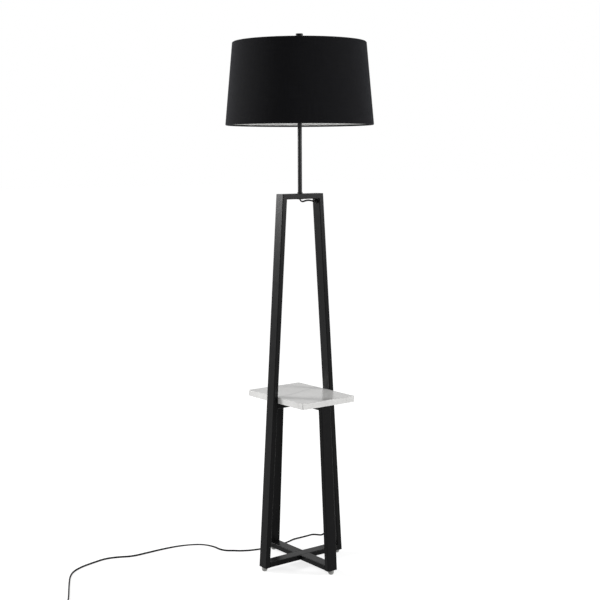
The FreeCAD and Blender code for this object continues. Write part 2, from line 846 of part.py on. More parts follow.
def arc_radius(before, corner, after, share=0.45):
    """The largest radius that rounds a corner within a share of its shorter run."""
    arriving = corner - before
    leaving = after - corner
    turn = arriving.getAngle(leaving)
    return share * min(arriving.Length, leaving.Length) / math.tan(turn / 2)


def rounded_path(points, radii):
    """Straight runs joined by tangent arcs, one radius for each inner point."""
    edges = []
    start = points[0]
    for before, corner, after, radius in zip(points, points[1:], points[2:], radii):
        arriving = (corner - before).normalize()
        leaving = (after - corner).normalize()
        setback = radius * math.tan(arriving.getAngle(leaving) / 2)
        first = corner - arriving * setback
        last = corner + leaving * setback
        edges.append(Part.LineSegment(start, first).toShape())
        edges.append(arc_through(first, arriving, last))
        start = last
    edges.append(Part.LineSegment(start, points[-1]).toShape())
    return Part.Wire(edges)


def biarc(start, leaving, end, arriving):
    """Two arcs that leave start in one direction and reach end in another."""
    span = end - start
    both = leaving + arriving
    square = 2 * (leaving.dot(arriving) - 1)
    slope = -2 * span.dot(both)
    if abs(square) < 1e-9:
        reach = -span.dot(span) / slope
    else:
        reach = (-slope - math.sqrt(slope * slope - 4 * square * span.dot(span))) / (2 * square)
    middle = (start + leaving * reach + end - arriving * reach) * 0.5
    through = (end - arriving * reach - start - leaving * reach).normalize()
    return [arc_through(start, leaving, middle), arc_through(middle, through, end)]


def swept(section, path, binormal=None):
    """A solid made by carrying a closed section along a path, held to one binormal on a flat path."""
    pipe = Part.BRepOffsetAPI.MakePipeShell(path)
    if binormal is not None:
        pipe.setBiNormalMode(binormal)
    pipe.add(section)
    pipe.build()
    pipe.makeSolid()
    return pipe.shape()


def round_section(centre, direction, radius):
    return Part.Wire(Part.Circle(centre, direction, radius).toShape())


def flat_section(centre, across, through):
    """The outline of the flat cord, square to its run: across is its wide way and through its thin way."""
    round_off = size("cord_thickness") / 2
    half = size("cord_width") / 2 - round_off
    right = centre + across * half
    left = centre - across * half
    rise = through * round_off
    bulge = across * round_off
    return Part.Wire(
        [
            Part.LineSegment(left + rise, right + rise).toShape(),
            Part.Arc(right + rise, right + bulge, right - rise).toShape(),
            Part.LineSegment(right - rise, left - rise).toShape(),
            Part.Arc(left - rise, left - bulge, left + rise).toShape(),
        ]
    )


# ---------------------------------------------------------------- lead and strain reliefs
def relief(label, flange_radius, flange, root_radius, tip_radius, nose):
    """A strain relief whose face lies at its own z 0 and whose nose tapers up along +Z."""
    return turned(
        label,
        [
            ("Places.cord_bore", "-Sizes.tube_wall - Sizes.relief_barb"),
            ("Sizes.relief_neck_radius - Sizes.edge_break", "-Sizes.tube_wall - Sizes.relief_barb"),
            ("Sizes.relief_neck_radius", "-Sizes.tube_wall - Sizes.relief_barb / 2"),
            ("Sizes.relief_neck_radius", "0"),
            (flange_radius, "0"),
            (flange_radius, f"{flange} - Sizes.edge_break"),
            (f"{flange_radius} - Sizes.edge_break", flange),
            (root_radius, flange),
            (tip_radius, f"{flange} + {nose}"),
            ("Places.cord_bore", f"{flange} + {nose}"),
        ],
    )


def make_lead():
    """The cord inside the lamp: down the post, across under the crossbar, down inside the back right leg."""
    slope = worked_out("Places.tall_slope")
    stretch = worked_out("Places.tall_stretch")
    down_leg = Vector(slope, 0, -1) / stretch
    out_of_leg = Vector(-1, 0, -slope) / stretch
    relief_z = "Places.top_relief_height"
    face = Vector(worked_out(leg_inner("tall", relief_z)), 0, worked_out(relief_z))
    top_relief = relief(
        "top_strain_relief",
        "Sizes.top_relief_flange_radius",
        "Sizes.top_relief_flange",
        "Sizes.top_relief_root_radius",
        "Sizes.top_relief_tip_radius",
        "Sizes.top_relief_nose",
    )
    keep(
        placed(
            top_relief,
            x=leg_inner("tall", relief_z),
            z=relief_z,
            axis=Y_AXIS,
            angle="-90 - atan(Places.tall_slope) / 1 deg",
        )
    )
    exit_relief = relief(
        "exit_strain_relief",
        "Sizes.exit_flange_radius",
        "Sizes.exit_flange",
        "Sizes.exit_root_radius",
        "Sizes.exit_tip_radius",
        "Sizes.exit_nose",
    )
    keep(
        placed(
            exit_relief,
            x=leg_centre("tall", "Sizes.exit_height"),
            y="Sizes.tube_width / 2",
            z="Sizes.exit_height",
            axis=X_AXIS,
            angle="-90",
        )
    )

    relief_tip = face + out_of_leg * (size("top_relief_flange") + size("top_relief_nose"))
    turn_corner = face - out_of_leg * (size("tube_thickness") / 2)
    lead_top = Vector(0, 0, worked_out("Places.saddle_top + Sizes.moulding_low"))
    leg_run_end = turn_corner + down_leg * (
        (turn_corner.z - size("exit_height") - size("lead_join_above_exit")) * stretch
    )
    dip = Vector(0, 0, worked_out("Places.crossbar_low - Sizes.lead_dip"))
    hump = Vector(size("lead_hump_reach"), 0, worked_out("Places.crossbar_low - Sizes.lead_hump_drop"))
    points = [lead_top, dip, hump, relief_tip, turn_corner, leg_run_end]
    over_hump = arc_radius(dip, hump, relief_tip, 0.4)
    near_tip = arc_radius(hump, relief_tip, turn_corner, 0.3)
    radii = [size("lead_bend"), over_hump, near_tip, size("lead_inside_bend")]
    path = rounded_path(points, radii)
    lead = swept(flat_section(lead_top, Y_AXIS, X_AXIS), path, Y_AXIS)
    keep(shaped("lamp_lead", lead))

    corner = leg_run_end + down_leg * ((leg_run_end.z - size("exit_height")) * stretch)
    tip_y = worked_out("Sizes.tube_width / 2 + Sizes.exit_flange + Sizes.exit_nose")
    tip = Vector(corner.x, tip_y, corner.z)
    exit_path = rounded_path([leg_run_end, corner, tip], [size("exit_bend")])
    through = Y_AXIS.cross(down_leg)
    exit_lead = swept(flat_section(leg_run_end, Y_AXIS, through), exit_path, through)
    keep(shaped("lamp_lead_exit", exit_lead))
    return tip


# ---------------------------------------------------------------- free cord, coil and plug
def coil_point(turns):
    """Where the coil's centreline is after so many turns, and its direction there. It winds in on the
    floor, climbs a layer in half a turn while the spiral reverses, and winds out again on top."""
    layer = size("coil_layer_turns")
    climb = size("coil_climb_turns")
    pitch = worked_out("Places.coil_pitch")
    low = worked_out("Places.cord_radius")
    outer = size("coil_outer_radius")
    inner = outer - pitch * layer
    height, climbing = low, 0.0
    if turns <= layer:
        radius, widening = outer - pitch * turns, -pitch
    elif turns < layer + climb:
        share = (turns - layer) / climb
        radius = inner - pitch * climb * share * (1 - share)
        widening = -pitch * (1 - 2 * share)
        height = low + pitch * (3 * share**2 - 2 * share**3)
        climbing = pitch * (6 * share - 6 * share**2) / climb
    else:
        radius, widening = inner + pitch * (turns - layer - climb), pitch
        height = low + pitch
    angle = math.radians(size("coil_start_degrees")) + 2 * math.pi * turns
    outward = Vector(math.cos(angle), math.sin(angle), 0)
    forward = Vector(-math.sin(angle), math.cos(angle), 0)
    point = Vector(size("coil_x"), size("coil_y"), height) + outward * radius
    direction = outward * widening + forward * (2 * math.pi * radius) + Z_AXIS * climbing
    return point, direction.normalize()


def coil_path():
    """Quarter turns joined by pairs of arcs, with a straight end of one cord width at each end."""
    quarters = round(4 * (2 * size("coil_layer_turns") + size("coil_climb_turns")))
    stops = [coil_point(quarter / 4) for quarter in range(quarters + 1)]
    straight = size("cord_width")
    first, leaving = stops[0]
    last, arriving = stops[-1]
    edges = [Part.LineSegment(first - leaving * straight, first).toShape()]
    for (start, start_way), (end, end_way) in zip(stops, stops[1:]):
        edges += biarc(start, start_way, end, end_way)
    edges.append(Part.LineSegment(last, last + arriving * straight).toShape())
    return Part.Wire(edges), first - leaving * straight, leaving, last + arriving * straight, arriving


def least_gap(points, step, radius):
    """The least clear distance between stretches of a tube that aren't next to each other."""
    apart = int(3 * math.pi * radius / step)
    least = min(
        (points[i] - points[j]).Length
        for i in range(len(points))
        for j in range(i + apart, len(points))
    )
    return least - 2 * radius


def make_cord(tip):
    """The free cord from the exit to the coil, the coil, and the plug beside it."""
    radius = worked_out("Places.cord_radius")
    coil_wire, coil_begin, coil_way, coil_end, plug_way = coil_path()
    first_bend = tip + Y_AXIS * size("cord_first_run")
    points = [tip, first_bend] + [Vector(*point) for point in CORD_ROUTE]
    points += [coil_begin - coil_way * size("coil_lead_in"), coil_begin]
    radii = [arc_radius(*corner) for corner in zip(points, points[1:], points[2:])]
    print("cord radii:", " ".join(f"{r:.0f}" for r in radii))
    runs = [(b - a).Length for a, b in zip(points, points[1:])]
    print("cord runs:", " ".join(f"{r:.0f}" for r in runs))
    print("run ratios:", " ".join(f"{max(a, b) / min(a, b):.2f}" for a, b in zip(runs, runs[1:])))
    path = rounded_path(points, radii)
    start_way = (points[1] - tip).normalize()
    cord = swept(round_section(tip, start_way, radius), path)
    area = math.pi * radius**2
    print(f"cord length {path.Length:.1f}, volume ratio {cord.Volume / area / path.Length:.5f}")
    keep(shaped("cord_free", cord))

    coil = swept(round_section(coil_begin, coil_way, radius), coil_wire)
    print(f"coil length {coil_wire.Length:.1f}, volume ratio {coil.Volume / area / coil_wire.Length:.5f}")
    step = 2.0
    samples = coil_wire.discretize(Distance=step)
    print(f"coil's least gap to itself {least_gap(samples, step, radius):.2f}")
    keep(shaped("cord_coil", coil))
    make_plug(coil_end, plug_way)


def make_plug(start, way):
    """The plug's moulded body and its two blades, lying flat with the cord's end in its neck."""
    heading = math.degrees(math.atan2(way.y, way.x)) - 90
    place = FreeCAD.Placement(start, FreeCAD.Rotation(Z_AXIS, heading))
    body = new_body("plug_block")
    pad = body.newObject("PartDesign::Pad", "Block")
    pad.Profile = outline(
        body,
        "XY_Plane",
        [
            ("-Sizes.plug_width / 2", "Sizes.plug_neck_length"),
            ("Sizes.plug_width / 2", "Sizes.plug_neck_length"),
            ("Sizes.plug_width / 2", "Sizes.plug_neck_length + Sizes.plug_length"),
            ("-Sizes.plug_width / 2", "Sizes.plug_neck_length + Sizes.plug_length"),
        ],
    )
    pad.SideType = "Symmetric"
    pad.setExpression("Length", "2 * (Places.cord_radius + Places.coil_pitch)")
    doc.recompute()
    along = [
        f"Edge{number}"
        for number, edge in enumerate(pad.Shape.Edges, start=1)
        if abs(edge.tangentAt(edge.FirstParameter).z) > 0.9
    ]
    rounding = body.newObject("PartDesign::Fillet", "Corners")
    rounding.Base = (pad, along)
    rounding.setExpression("Radius", "Sizes.plug_corner")
    doc.recompute()
    rims = [
        f"Edge{number}"
        for number, edge in enumerate(rounding.Shape.Edges, start=1)
        if abs(edge.tangentAt(edge.FirstParameter).z) < 0.1
    ]
    softening = body.newObject("PartDesign::Fillet", "Rims")
    softening.Base = (rounding, rims)
    softening.setExpression("Radius", "Sizes.plug_corner / 2")
    body.Tip = softening
    doc.recompute()
    neck = doc.addObject("Part::Cone", "plug_neck")
    neck.setExpression("Radius1", "Places.cord_radius + Sizes.plug_neck_wall")
    neck.setExpression("Radius2", "Sizes.plug_neck_end")
    neck.setExpression("Height", "Sizes.plug_neck_length + Sizes.plug_corner")
    neck.Placement = FreeCAD.Placement(Vector(), FreeCAD.Rotation(X_AXIS, -90))
    doc.recompute()
    moulding = joined("plug_moulding", [body, neck])
    slots = []
    blades = []
    reach = "Sizes.plug_neck_length + Sizes.plug_length"
    for side in (-1, 1):
        x = f"{side} * Sizes.blade_spacing / 2"
        slots.append(
            block(
                "blade_slot",
                "Sizes.blade_thickness",
                "Sizes.blade_length",
                "Sizes.blade_width",
                x=x,
                y=f"({reach})",
                z="-Sizes.blade_width / 2",
            )
        )
        blades.append(
            block(
                "blade",
                "Sizes.blade_thickness",
                "1.5 * Sizes.blade_length",
                "Sizes.blade_width",
                x=x,
                y=f"({reach} + Sizes.blade_length / 4)",
                z="-Sizes.blade_width / 2",
            )
        )
    plug = holed("plug_body", moulding, slots)
    plug.Placement = place
    keep(plug)
    pair = grouped("plug_blades", blades)
    pair.Placement = place
    keep(pair)


# ---------------------------------------------------------------- harp
def make_harp():
    """The saddle on the post, the bow on its two tabs, a sleeve over each joint and the stud on top."""
    body = new_body("saddle_strip")
    pad = body.newObject("PartDesign::Pad", "Strip")
    half = "Sizes.saddle_half"
    strip = "Sizes.saddle_strip"
    shoulder = "Sizes.saddle_shoulder"
    pad.Profile = outline(
        body,
        "XZ_Plane",
        [
            (f"-{half} - {strip} / 2", "0"),
            (f"{half} + {strip} / 2", "0"),
            (f"{half} + {strip} / 2", f"{shoulder} + {strip}"),
            (f"{half} - {strip} / 2", f"{shoulder} + {strip}"),
            (f"{half} - {strip} / 2", strip),
            (f"-{half} + {strip} / 2", strip),
            (f"-{half} + {strip} / 2", f"{shoulder} + {strip}"),
            (f"-{half} - {strip} / 2", f"{shoulder} + {strip}"),
        ],
    )
    pad.SideType = "Symmetric"
    pad.setExpression("Length", "Sizes.saddle_width")
    doc.recompute()
    placed(body, z="Places.post_top")
    tabs = [
        block(
            "saddle_tab",
            strip,
            "Sizes.saddle_tab_width",
            "Sizes.saddle_tab",
            x=f"{side} * {half}",
            z=f"Places.saddle_top + {shoulder}",
        )
        for side in (-1, 1)
    ]
    saddle = joined("saddle_with_tabs", [body] + tabs)
    hole = cylinder(
        "saddle_hole",
        "Sizes.nipple_radius + Sizes.fit_gap",
        "2 * Sizes.cutter_reach",
        z="Places.post_top - Sizes.cutter_reach",
    )
    keep(holed("harp_saddle", saddle, [hole]))

    foot = worked_out("Places.harp_foot_low")
    rise = worked_out("Places.harp_wire_top") - foot
    right = [Vector(size("saddle_half"), 0, foot)]
    for share, lift in HARP_BOW:
        across = size("saddle_half") if share is None else share * size("harp_half")
        right.append(Vector(across, 0, foot + lift * rise))
    left = [Vector(-point.x, 0, point.z) for point in reversed(right)]
    bow = right + left
    radii = [arc_radius(*corner) for corner in zip(bow, bow[1:], bow[2:])]
    wire = rounded_path(bow, radii)
    rod = shaped("harp_rod", swept(round_section(bow[0], Z_AXIS, size("harp_wire")), wire, Y_AXIS))
    ends = [
        cylinder(
            "harp_end",
            "Sizes.harp_foot_radius",
            "Sizes.harp_foot_length",
            x=f"{side} * Sizes.saddle_half",
            z="Places.harp_foot_low",
        )
        for side in (-1, 1)
    ]
    keep(joined("harp_bow", [rod] + ends))
    for name, side in (("left", -1), ("right", 1)):
        sleeve = turned(
            f"harp_sleeve_{name}",
            [
                ("Places.sleeve_bore", "0"),
                ("Places.sleeve_bore + Sizes.sleeve_wall", "0"),
                ("Places.sleeve_bore + Sizes.sleeve_wall", "Sizes.sleeve_length - Sizes.edge_break"),
                ("Places.sleeve_bore + Sizes.sleeve_wall / 2", "Sizes.sleeve_length"),
                ("Places.sleeve_bore", "Sizes.sleeve_length"),
            ],
        )
        keep(placed(sleeve, x=f"{side} * {half}", z=f"Places.saddle_top + {shoulder}"))
    stud = turned(
        "stud_blank",
        [
            ("0", "-Sizes.stud_base_height"),
            ("Sizes.stud_base_radius - Sizes.stud_base_height / 2", "-Sizes.stud_base_height"),
            ("Sizes.stud_base_radius", "-Sizes.stud_base_height / 2"),
            ("Sizes.stud_base_radius", "0"),
            ("Sizes.finial_stud_radius", "0"),
            ("Sizes.finial_stud_radius", "Sizes.finial_stud_length - Sizes.edge_break"),
            ("Sizes.finial_stud_radius - Sizes.edge_break", "Sizes.finial_stud_length"),
            ("0", "Sizes.finial_stud_length"),
        ],
    )
    placed(stud, z="Places.post_top + Sizes.harp_height")
    wire_hole = cylinder(
        "harp_wire_hole",
        "Sizes.harp_wire + Sizes.running_gap",
        "4 * Sizes.stud_base_radius",
        x="-2 * Sizes.stud_base_radius",
        z="Places.harp_wire_top",
        axis=Y_AXIS,
        angle="90",
    )
    keep(holed("harp_stud", stud, [wire_hole]))


# ---------------------------------------------------------------- socket and bulb
def make_socket():
    """Cap, shell, liner, moulding, screw shell and contact, and the knob on its stem at -Y."""
    cap = turned(
        "socket_cap",
        [
            ("Sizes.nipple_radius + Sizes.running_gap", "0"),
            ("Sizes.cap_foot_radius", "0"),
            ("Sizes.cap_radius", "Sizes.cap_shoulder"),
            ("Sizes.cap_radius", "Sizes.cap_height"),
            ("Sizes.cap_radius - Sizes.cap_wall", "Sizes.cap_height"),
            ("Sizes.cap_radius - Sizes.cap_wall", "Sizes.cap_shoulder + Sizes.cap_wall / 2"),
            ("Sizes.cap_foot_radius - Sizes.cap_wall", "Sizes.cap_floor"),
            ("Sizes.nipple_radius + Sizes.running_gap", "Sizes.cap_floor"),
        ],
    )
    keep(placed(cap, z="Places.saddle_top"))
    stem_z = "Places.saddle_top + Sizes.knob_height"

    def stem_hole(radius):
        return cylinder(
            "stem_hole",
            radius,
            "Sizes.stem_sink + Sizes.cutter_reach / 2",
            y="-(Places.moulding_radius - Sizes.stem_sink)",
            z=stem_z,
            axis=X_AXIS,
            angle="90",
        )

    shell_bore = "Sizes.shell_radius - Sizes.shell_wall"
    shell = turned(
        "shell_blank", ring_profile(shell_bore, "Sizes.shell_radius", "Sizes.shell_low", "Sizes.shell_high")
    )
    placed(shell, z="Places.saddle_top")
    keep(holed("socket_shell", shell, [stem_hole("Sizes.stem_radius + 2 * Sizes.stem_play")]))
    liner = turned(
        "liner_blank",
        ring_profile(
            "Places.liner_radius - Sizes.liner_wall",
            "Places.liner_radius",
            "Sizes.shell_low + Sizes.liner_inset",
            "Sizes.shell_high - Sizes.liner_inset",
        ),
    )
    placed(liner, z="Places.saddle_top")
    keep(holed("socket_liner", liner, [stem_hole("Sizes.stem_radius + 2 * Sizes.stem_play")]))
    moulding = turned(
        "moulding_blank",
        [
            ("0", "Sizes.moulding_low"),
            ("Places.moulding_radius - Sizes.edge_break", "Sizes.moulding_low"),
            ("Places.moulding_radius", "Sizes.moulding_low + Sizes.edge_break"),
            ("Places.moulding_radius", "Sizes.moulding_high"),
            ("0", "Sizes.moulding_high"),
        ],
    )
    placed(moulding, z="Places.saddle_top")
    keep(holed("socket_moulding", moulding, [stem_hole("Sizes.stem_radius + Sizes.stem_play")]))
    screw_shell = turned(
        "socket_screw_shell",
        ring_profile(
            "Sizes.screw_shell_bore",
            "Sizes.screw_shell_bore + Sizes.screw_shell_wall",
            "Sizes.moulding_high",
            "Sizes.moulding_high + Sizes.screw_shell_height",
        ),
    )
    keep(placed(screw_shell, z="Places.saddle_top"))
    contact = turned(
        "socket_contact",
        [
            ("0", "Sizes.moulding_high"),
            ("Sizes.contact_radius", "Sizes.moulding_high"),
            ("Sizes.contact_radius - Sizes.edge_break", "Sizes.moulding_high + Sizes.contact_height"),
            ("0", "Sizes.moulding_high + Sizes.contact_height"),
        ],
    )
    keep(placed(contact, z="Places.saddle_top"))

    stem_foot = "(Places.moulding_radius - Sizes.stem_sink + Sizes.stem_play)"
    stem = cylinder(
        "switch_stem",
        "Sizes.stem_radius",
        f"Sizes.knob_start + Sizes.knob_length / 2 - {stem_foot}",
        y=f"-{stem_foot}",
        z=stem_z,
        axis=X_AXIS,
        angle="90",
    )
    stem.Label = "switch_stem"
    keep(stem)
    keep(fluted_knob(stem_z))


def fluted_knob(stem_z):
    """A round knob with flutes round its grip and a blind hole for the stem."""
    body = new_body("knob_blank")
    turn_profile = outline(
        body,
        "XZ_Plane",
        [
            ("0", "Sizes.knob_length / 2"),
            ("Sizes.stem_radius", "Sizes.knob_length / 2"),
            ("Sizes.stem_radius", "0"),
            ("Sizes.knob_radius - Sizes.edge_break", "0"),
            ("Sizes.knob_radius", "Sizes.edge_break"),
            ("Sizes.knob_radius", "Sizes.knob_length - Sizes.edge_break"),
            ("Sizes.knob_radius - Sizes.edge_break", "Sizes.knob_length"),
            ("0", "Sizes.knob_length"),
        ],
    )
    turn = body.newObject("PartDesign::Revolution", "Turn")
    turn.Profile = turn_profile
    turn.ReferenceAxis = (turn_profile, ["V_Axis"])
    turn.Angle = 360
    doc.recompute()
    full = turn.Shape.Volume
    flute_sketch = body.newObject("Sketcher::SketchObject", "FluteOutline")
    flute_sketch.AttachmentSupport = [(origin_plane(body, "XY_Plane"), "")]
    flute_sketch.MapMode = "FlatFace"
    reach = worked_out("Sizes.knob_radius + Sizes.flute_radius / 2")
    flute_sketch.addGeometry(Part.Circle(Vector(reach, 0, 0), Z_AXIS, size("flute_radius")))
    flute_sketch.addConstraint(Sketcher.Constraint("PointOnObject", 0, 3, -1))
    distance = flute_sketch.addConstraint(Sketcher.Constraint("DistanceX", -1, 1, 0, 3, reach))
    flute_sketch.setExpression(f"Constraints[{distance}]", "Sizes.knob_radius + Sizes.flute_radius / 2")
    radius = flute_sketch.addConstraint(Sketcher.Constraint("Radius", 0, size("flute_radius")))
    flute_sketch.setExpression(f"Constraints[{radius}]", "Sizes.flute_radius")
    flute = body.newObject("PartDesign::Pocket", "Flute")
    flute.Profile = flute_sketch
    flute.SideType = "Symmetric"
    flute.setExpression("Length", "4 * Sizes.knob_length")
    doc.recompute()
    pattern = body.newObject("PartDesign::PolarPattern", "Flutes")
    pattern.Originals = [flute]
    pattern.Axis = (flute_sketch, ["N_Axis"])
    pattern.Angle = 360
    pattern.Occurrences = KNOB_FLUTES
    body.Tip = pattern
    doc.recompute()
    if not body.Shape.Volume < full:
        raise RuntimeError("switch_knob: its flutes cut nothing")
    body.Label = "switch_knob"
    return placed(body, y="-Sizes.knob_start", z=stem_z, axis=X_AXIS, angle="90")


def make_bulb():
    """The bulb's screw base as a thin cup, and its globe as a ball drawn down to a neck."""
    low = "(Sizes.moulding_high + Sizes.contact_height + Sizes.fit_gap)"
    skin = "Sizes.bulb_skin"
    tip_rise = "Sizes.bulb_tip_rise"
    base = turned(
        "bulb_base",
        [
            ("0", low),
            ("Sizes.bulb_tip_radius", low),
            (f"Sizes.bulb_base_radius - {tip_rise}", f"{low} + {tip_rise}"),
            ("Sizes.bulb_base_radius", f"{low} + Sizes.bulb_shoulder"),
            ("Sizes.bulb_base_radius", f"{low} + Sizes.bulb_base_height"),
            (f"Sizes.bulb_base_radius - {skin}", f"{low} + Sizes.bulb_base_height"),
            (f"Sizes.bulb_base_radius - {skin}", f"{low} + Sizes.bulb_shoulder + {skin}"),
            (f"Sizes.bulb_base_radius - {tip_rise} - {skin}", f"{low} + {tip_rise} + {skin}"),
            ("0", f"{low} + 2 * {skin}"),
        ],
    )
    keep(placed(base, z="Places.saddle_top"))
    rim = worked_out(f"Places.saddle_top + {low} + Sizes.bulb_base_height")
    crown = worked_out(f"Places.saddle_top + {low} + Sizes.bulb_length")
    centre = Vector(0, 0, crown - size("bulb_radius"))
    outer = globe_solid(centre, size("bulb_radius"), size("bulb_neck_radius"), rim)
    wall = size("bulb_wall")
    inner = globe_solid(centre, size("bulb_radius") - wall, size("bulb_neck_radius") - wall, rim)
    keep(shaped("bulb_globe", outer.cut(inner)))


def globe_solid(centre, ball, neck, rim):
    """A ball with a cone tangent to it, down to a straight neck that starts at the base's rim."""
    drop = centre.z - rim
    tilt = math.atan2(neck, drop) + math.acos(ball / math.hypot(neck, drop))
    touch = centre + Vector(ball * math.sin(tilt), 0, -ball * math.cos(tilt))
    side_tilt = (math.pi + tilt) / 2
    side = centre + Vector(ball * math.sin(side_tilt), 0, -ball * math.cos(side_tilt))
    top = centre + Vector(0, 0, ball)
    foot = rim - size("bulb_neck_depth")
    corners = [touch, Vector(neck, 0, rim), Vector(neck, 0, foot), Vector(0, 0, foot), top]
    edges = [Part.LineSegment(start, end).toShape() for start, end in zip(corners, corners[1:])]
    profile = Part.Wire([Part.Arc(top, side, touch).toShape()] + edges)
    return Part.Face(profile).revolve(centre, Z_AXIS, 360)


# ---------------------------------------------------------------- shade and finial
def shade_wall(height, inset):
    """The shade's radius at a height, less an inset from its outer face."""
    return f"(Sizes.shade_bottom_radius - Places.shade_slope * ({height} - Places.shade_low) - ({inset}))"


def make_shade():
    """Fabric with a hem rolled in over each wire ring, the lining, the rings and the three-arm fitter."""
    low = "Places.shade_low"
    high = "Places.shade_top"
    cloth = "Sizes.fabric"
    fold = "Places.hem_fold"
    flap = "Sizes.hem_flap"
    low_in = f"({low} + {cloth})"
    low_flap = f"({low} + {flap})"
    high_in = f"({high} - {cloth})"
    high_flap = f"({high} - {flap})"
    cloth_skin = turned(
        "shade_fabric",
        [
            (shade_wall(low, "0"), low),
            (shade_wall(high, "0"), high),
            (shade_wall(high, fold), high),
            (shade_wall(high_flap, fold), high_flap),
            (shade_wall(high_flap, f"{fold} - {cloth}"), high_flap),
            (shade_wall(high_in, f"{fold} - {cloth}"), high_in),
            (shade_wall(high_in, cloth), high_in),
            (shade_wall(low_in, cloth), low_in),
            (shade_wall(low_in, f"{fold} - {cloth}"), low_in),
            (shade_wall(low_flap, f"{fold} - {cloth}"), low_flap),
            (shade_wall(low_flap, fold), low_flap),
            (shade_wall(low, fold), low),
        ],
    )
    near = f"{cloth} + Sizes.skin_gap"
    far = f"{near} + Sizes.lining"
    lining_low = f"({low_in} + Sizes.skin_gap)"
    lining_high = f"({high_in} - Sizes.skin_gap)"
    keep(
        turned(
            "shade_lining",
            [
                (shade_wall(lining_low, far), lining_low),
                (shade_wall(lining_low, near), lining_low),
                (shade_wall(lining_high, near), lining_high),
                (shade_wall(lining_high, far), lining_high),
            ],
        )
    )
    to_ring = f"{far} + Sizes.skin_gap + Sizes.ring_wire"
    ring_z = {
        "bottom": f"({low_in} + Sizes.ring_wire + Sizes.skin_gap)",
        "top": f"({high_in} - Sizes.ring_wire - Sizes.skin_gap)",
    }
    for name, z in ring_z.items():
        ring = doc.addObject("Part::Torus", f"shade_ring_{name}")
        ring.setExpression("Radius1", shade_wall(z, to_ring))
        ring.setExpression("Radius2", "Sizes.ring_wire")
        ring.Label = f"shade_ring_{name}"
        keep(placed(ring, z=z))
    ring_radius = shade_wall(ring_z["top"], to_ring)
    notches = fitter_arms("hem_notch", "Sizes.fitter_arm + Sizes.fit_gap", ring_radius, ring_z["top"])
    keep(holed("shade_fabric", cloth_skin, notches))
    bore = "Sizes.finial_stud_radius + Sizes.shade_play"
    washer = turned(
        "fitter_washer", ring_profile(bore, "Sizes.fitter_washer_radius", "0", "Sizes.fitter_washer")
    )
    placed(washer, z="Places.washer_low")
    arms = fitter_arms("fitter_arm", "Sizes.fitter_arm", ring_radius, ring_z["top"])
    keep(joined("shade_fitter", [washer] + arms))
    make_finial()


def fitter_arms(label, radius, ring_radius, ring_z):
    """Straight rods from inside the fitter's washer up to the inner side of the top ring."""
    start = Vector(worked_out("Sizes.fitter_washer_radius - Sizes.fitter_arm"), 0, 0)
    start.z = worked_out("Places.washer_low + Sizes.fitter_washer / 2")
    reach = worked_out(f"{ring_radius} - Sizes.ring_wire - Sizes.running_gap")
    run = Vector(reach, 0, worked_out(ring_z)) - start
    rods = []
    for index in range(FITTER_ARMS):
        around = FreeCAD.Rotation(Z_AXIS, 90 + index * 360 / FITTER_ARMS)
        rod = doc.addObject("Part::Cylinder", label)
        rod.setExpression("Radius", radius)
        rod.Height = run.Length
        tilt = FreeCAD.Rotation(Z_AXIS, run)
        rod.Placement = FreeCAD.Placement(around.multVec(start), around.multiply(tilt))
        rods.append(rod)
    return rods


def make_finial():
    """A flat-topped drum on a narrow neck, screwed down on the stud."""
    bore = "Sizes.finial_stud_radius + Sizes.running_gap"
    finial = turned(
        "finial",
        [
            (bore, "0"),
            ("Sizes.finial_foot_radius", "0"),
            ("Sizes.finial_foot_radius", "Sizes.finial_foot_height"),
            ("Sizes.finial_neck_radius", "Sizes.finial_neck_low"),
            ("Sizes.finial_neck_radius", "Sizes.finial_neck_high"),
            ("Sizes.finial_low_radius", "Sizes.finial_drum_low"),
            ("Sizes.finial_radius", "Sizes.finial_height - Sizes.edge_break"),
            ("Sizes.finial_radius - Sizes.edge_break", "Sizes.finial_height"),
            ("0", "Sizes.finial_height"),
            ("0", "Sizes.finial_stud_length"),
            (bore, "Sizes.finial_stud_length"),
        ],
    )
    keep(placed(finial, z="Places.finial_low"))


# ---------------------------------------------------------------- build, check and write
make_frame()
make_feet()
make_shelf()
make_post()
cord_start = make_lead()
make_cord(cord_start)
make_harp()
make_socket()
make_bulb()
make_shade()
doc.recompute()

for item in doc.Objects:
    if "Invalid" in item.State or "Error" in item.State:
        raise RuntimeError(f"{item.Label} failed to recompute: {item.State}")
os.makedirs("parts", exist_ok=True)
for piece in SUBPARTS:
    if piece.Shape.isNull() or not piece.Shape.isValid() or not piece.Shape.Solids:
        raise RuntimeError(f"{piece.Label} has no valid solid")
    piece.Shape.exportStep(f"parts/{piece.Label}.step")
    box = piece.Shape.BoundBox
    print(
        f"{piece.Label}: {len(piece.Shape.Solids)} solid(s), {piece.Shape.Volume / 1000:.2f} cm3,"
        f" x {box.XMin:.1f}..{box.XMax:.1f} y {box.YMin:.1f}..{box.YMax:.1f} z {box.ZMin:.1f}..{box.ZMax:.1f}"
    )
print(f"{len(SUBPARTS)} sub-parts written")
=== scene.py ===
"""Shelf floor lamp: a black tube frame with a marble shelf, a thin post and a black drum shade.

Metres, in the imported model's own frame: the floor is z 0 and the post stands on the Z axis.
"""
import json
import math

import bmesh
import bpy
import numpy as np
from mathutils import Matrix, Vector


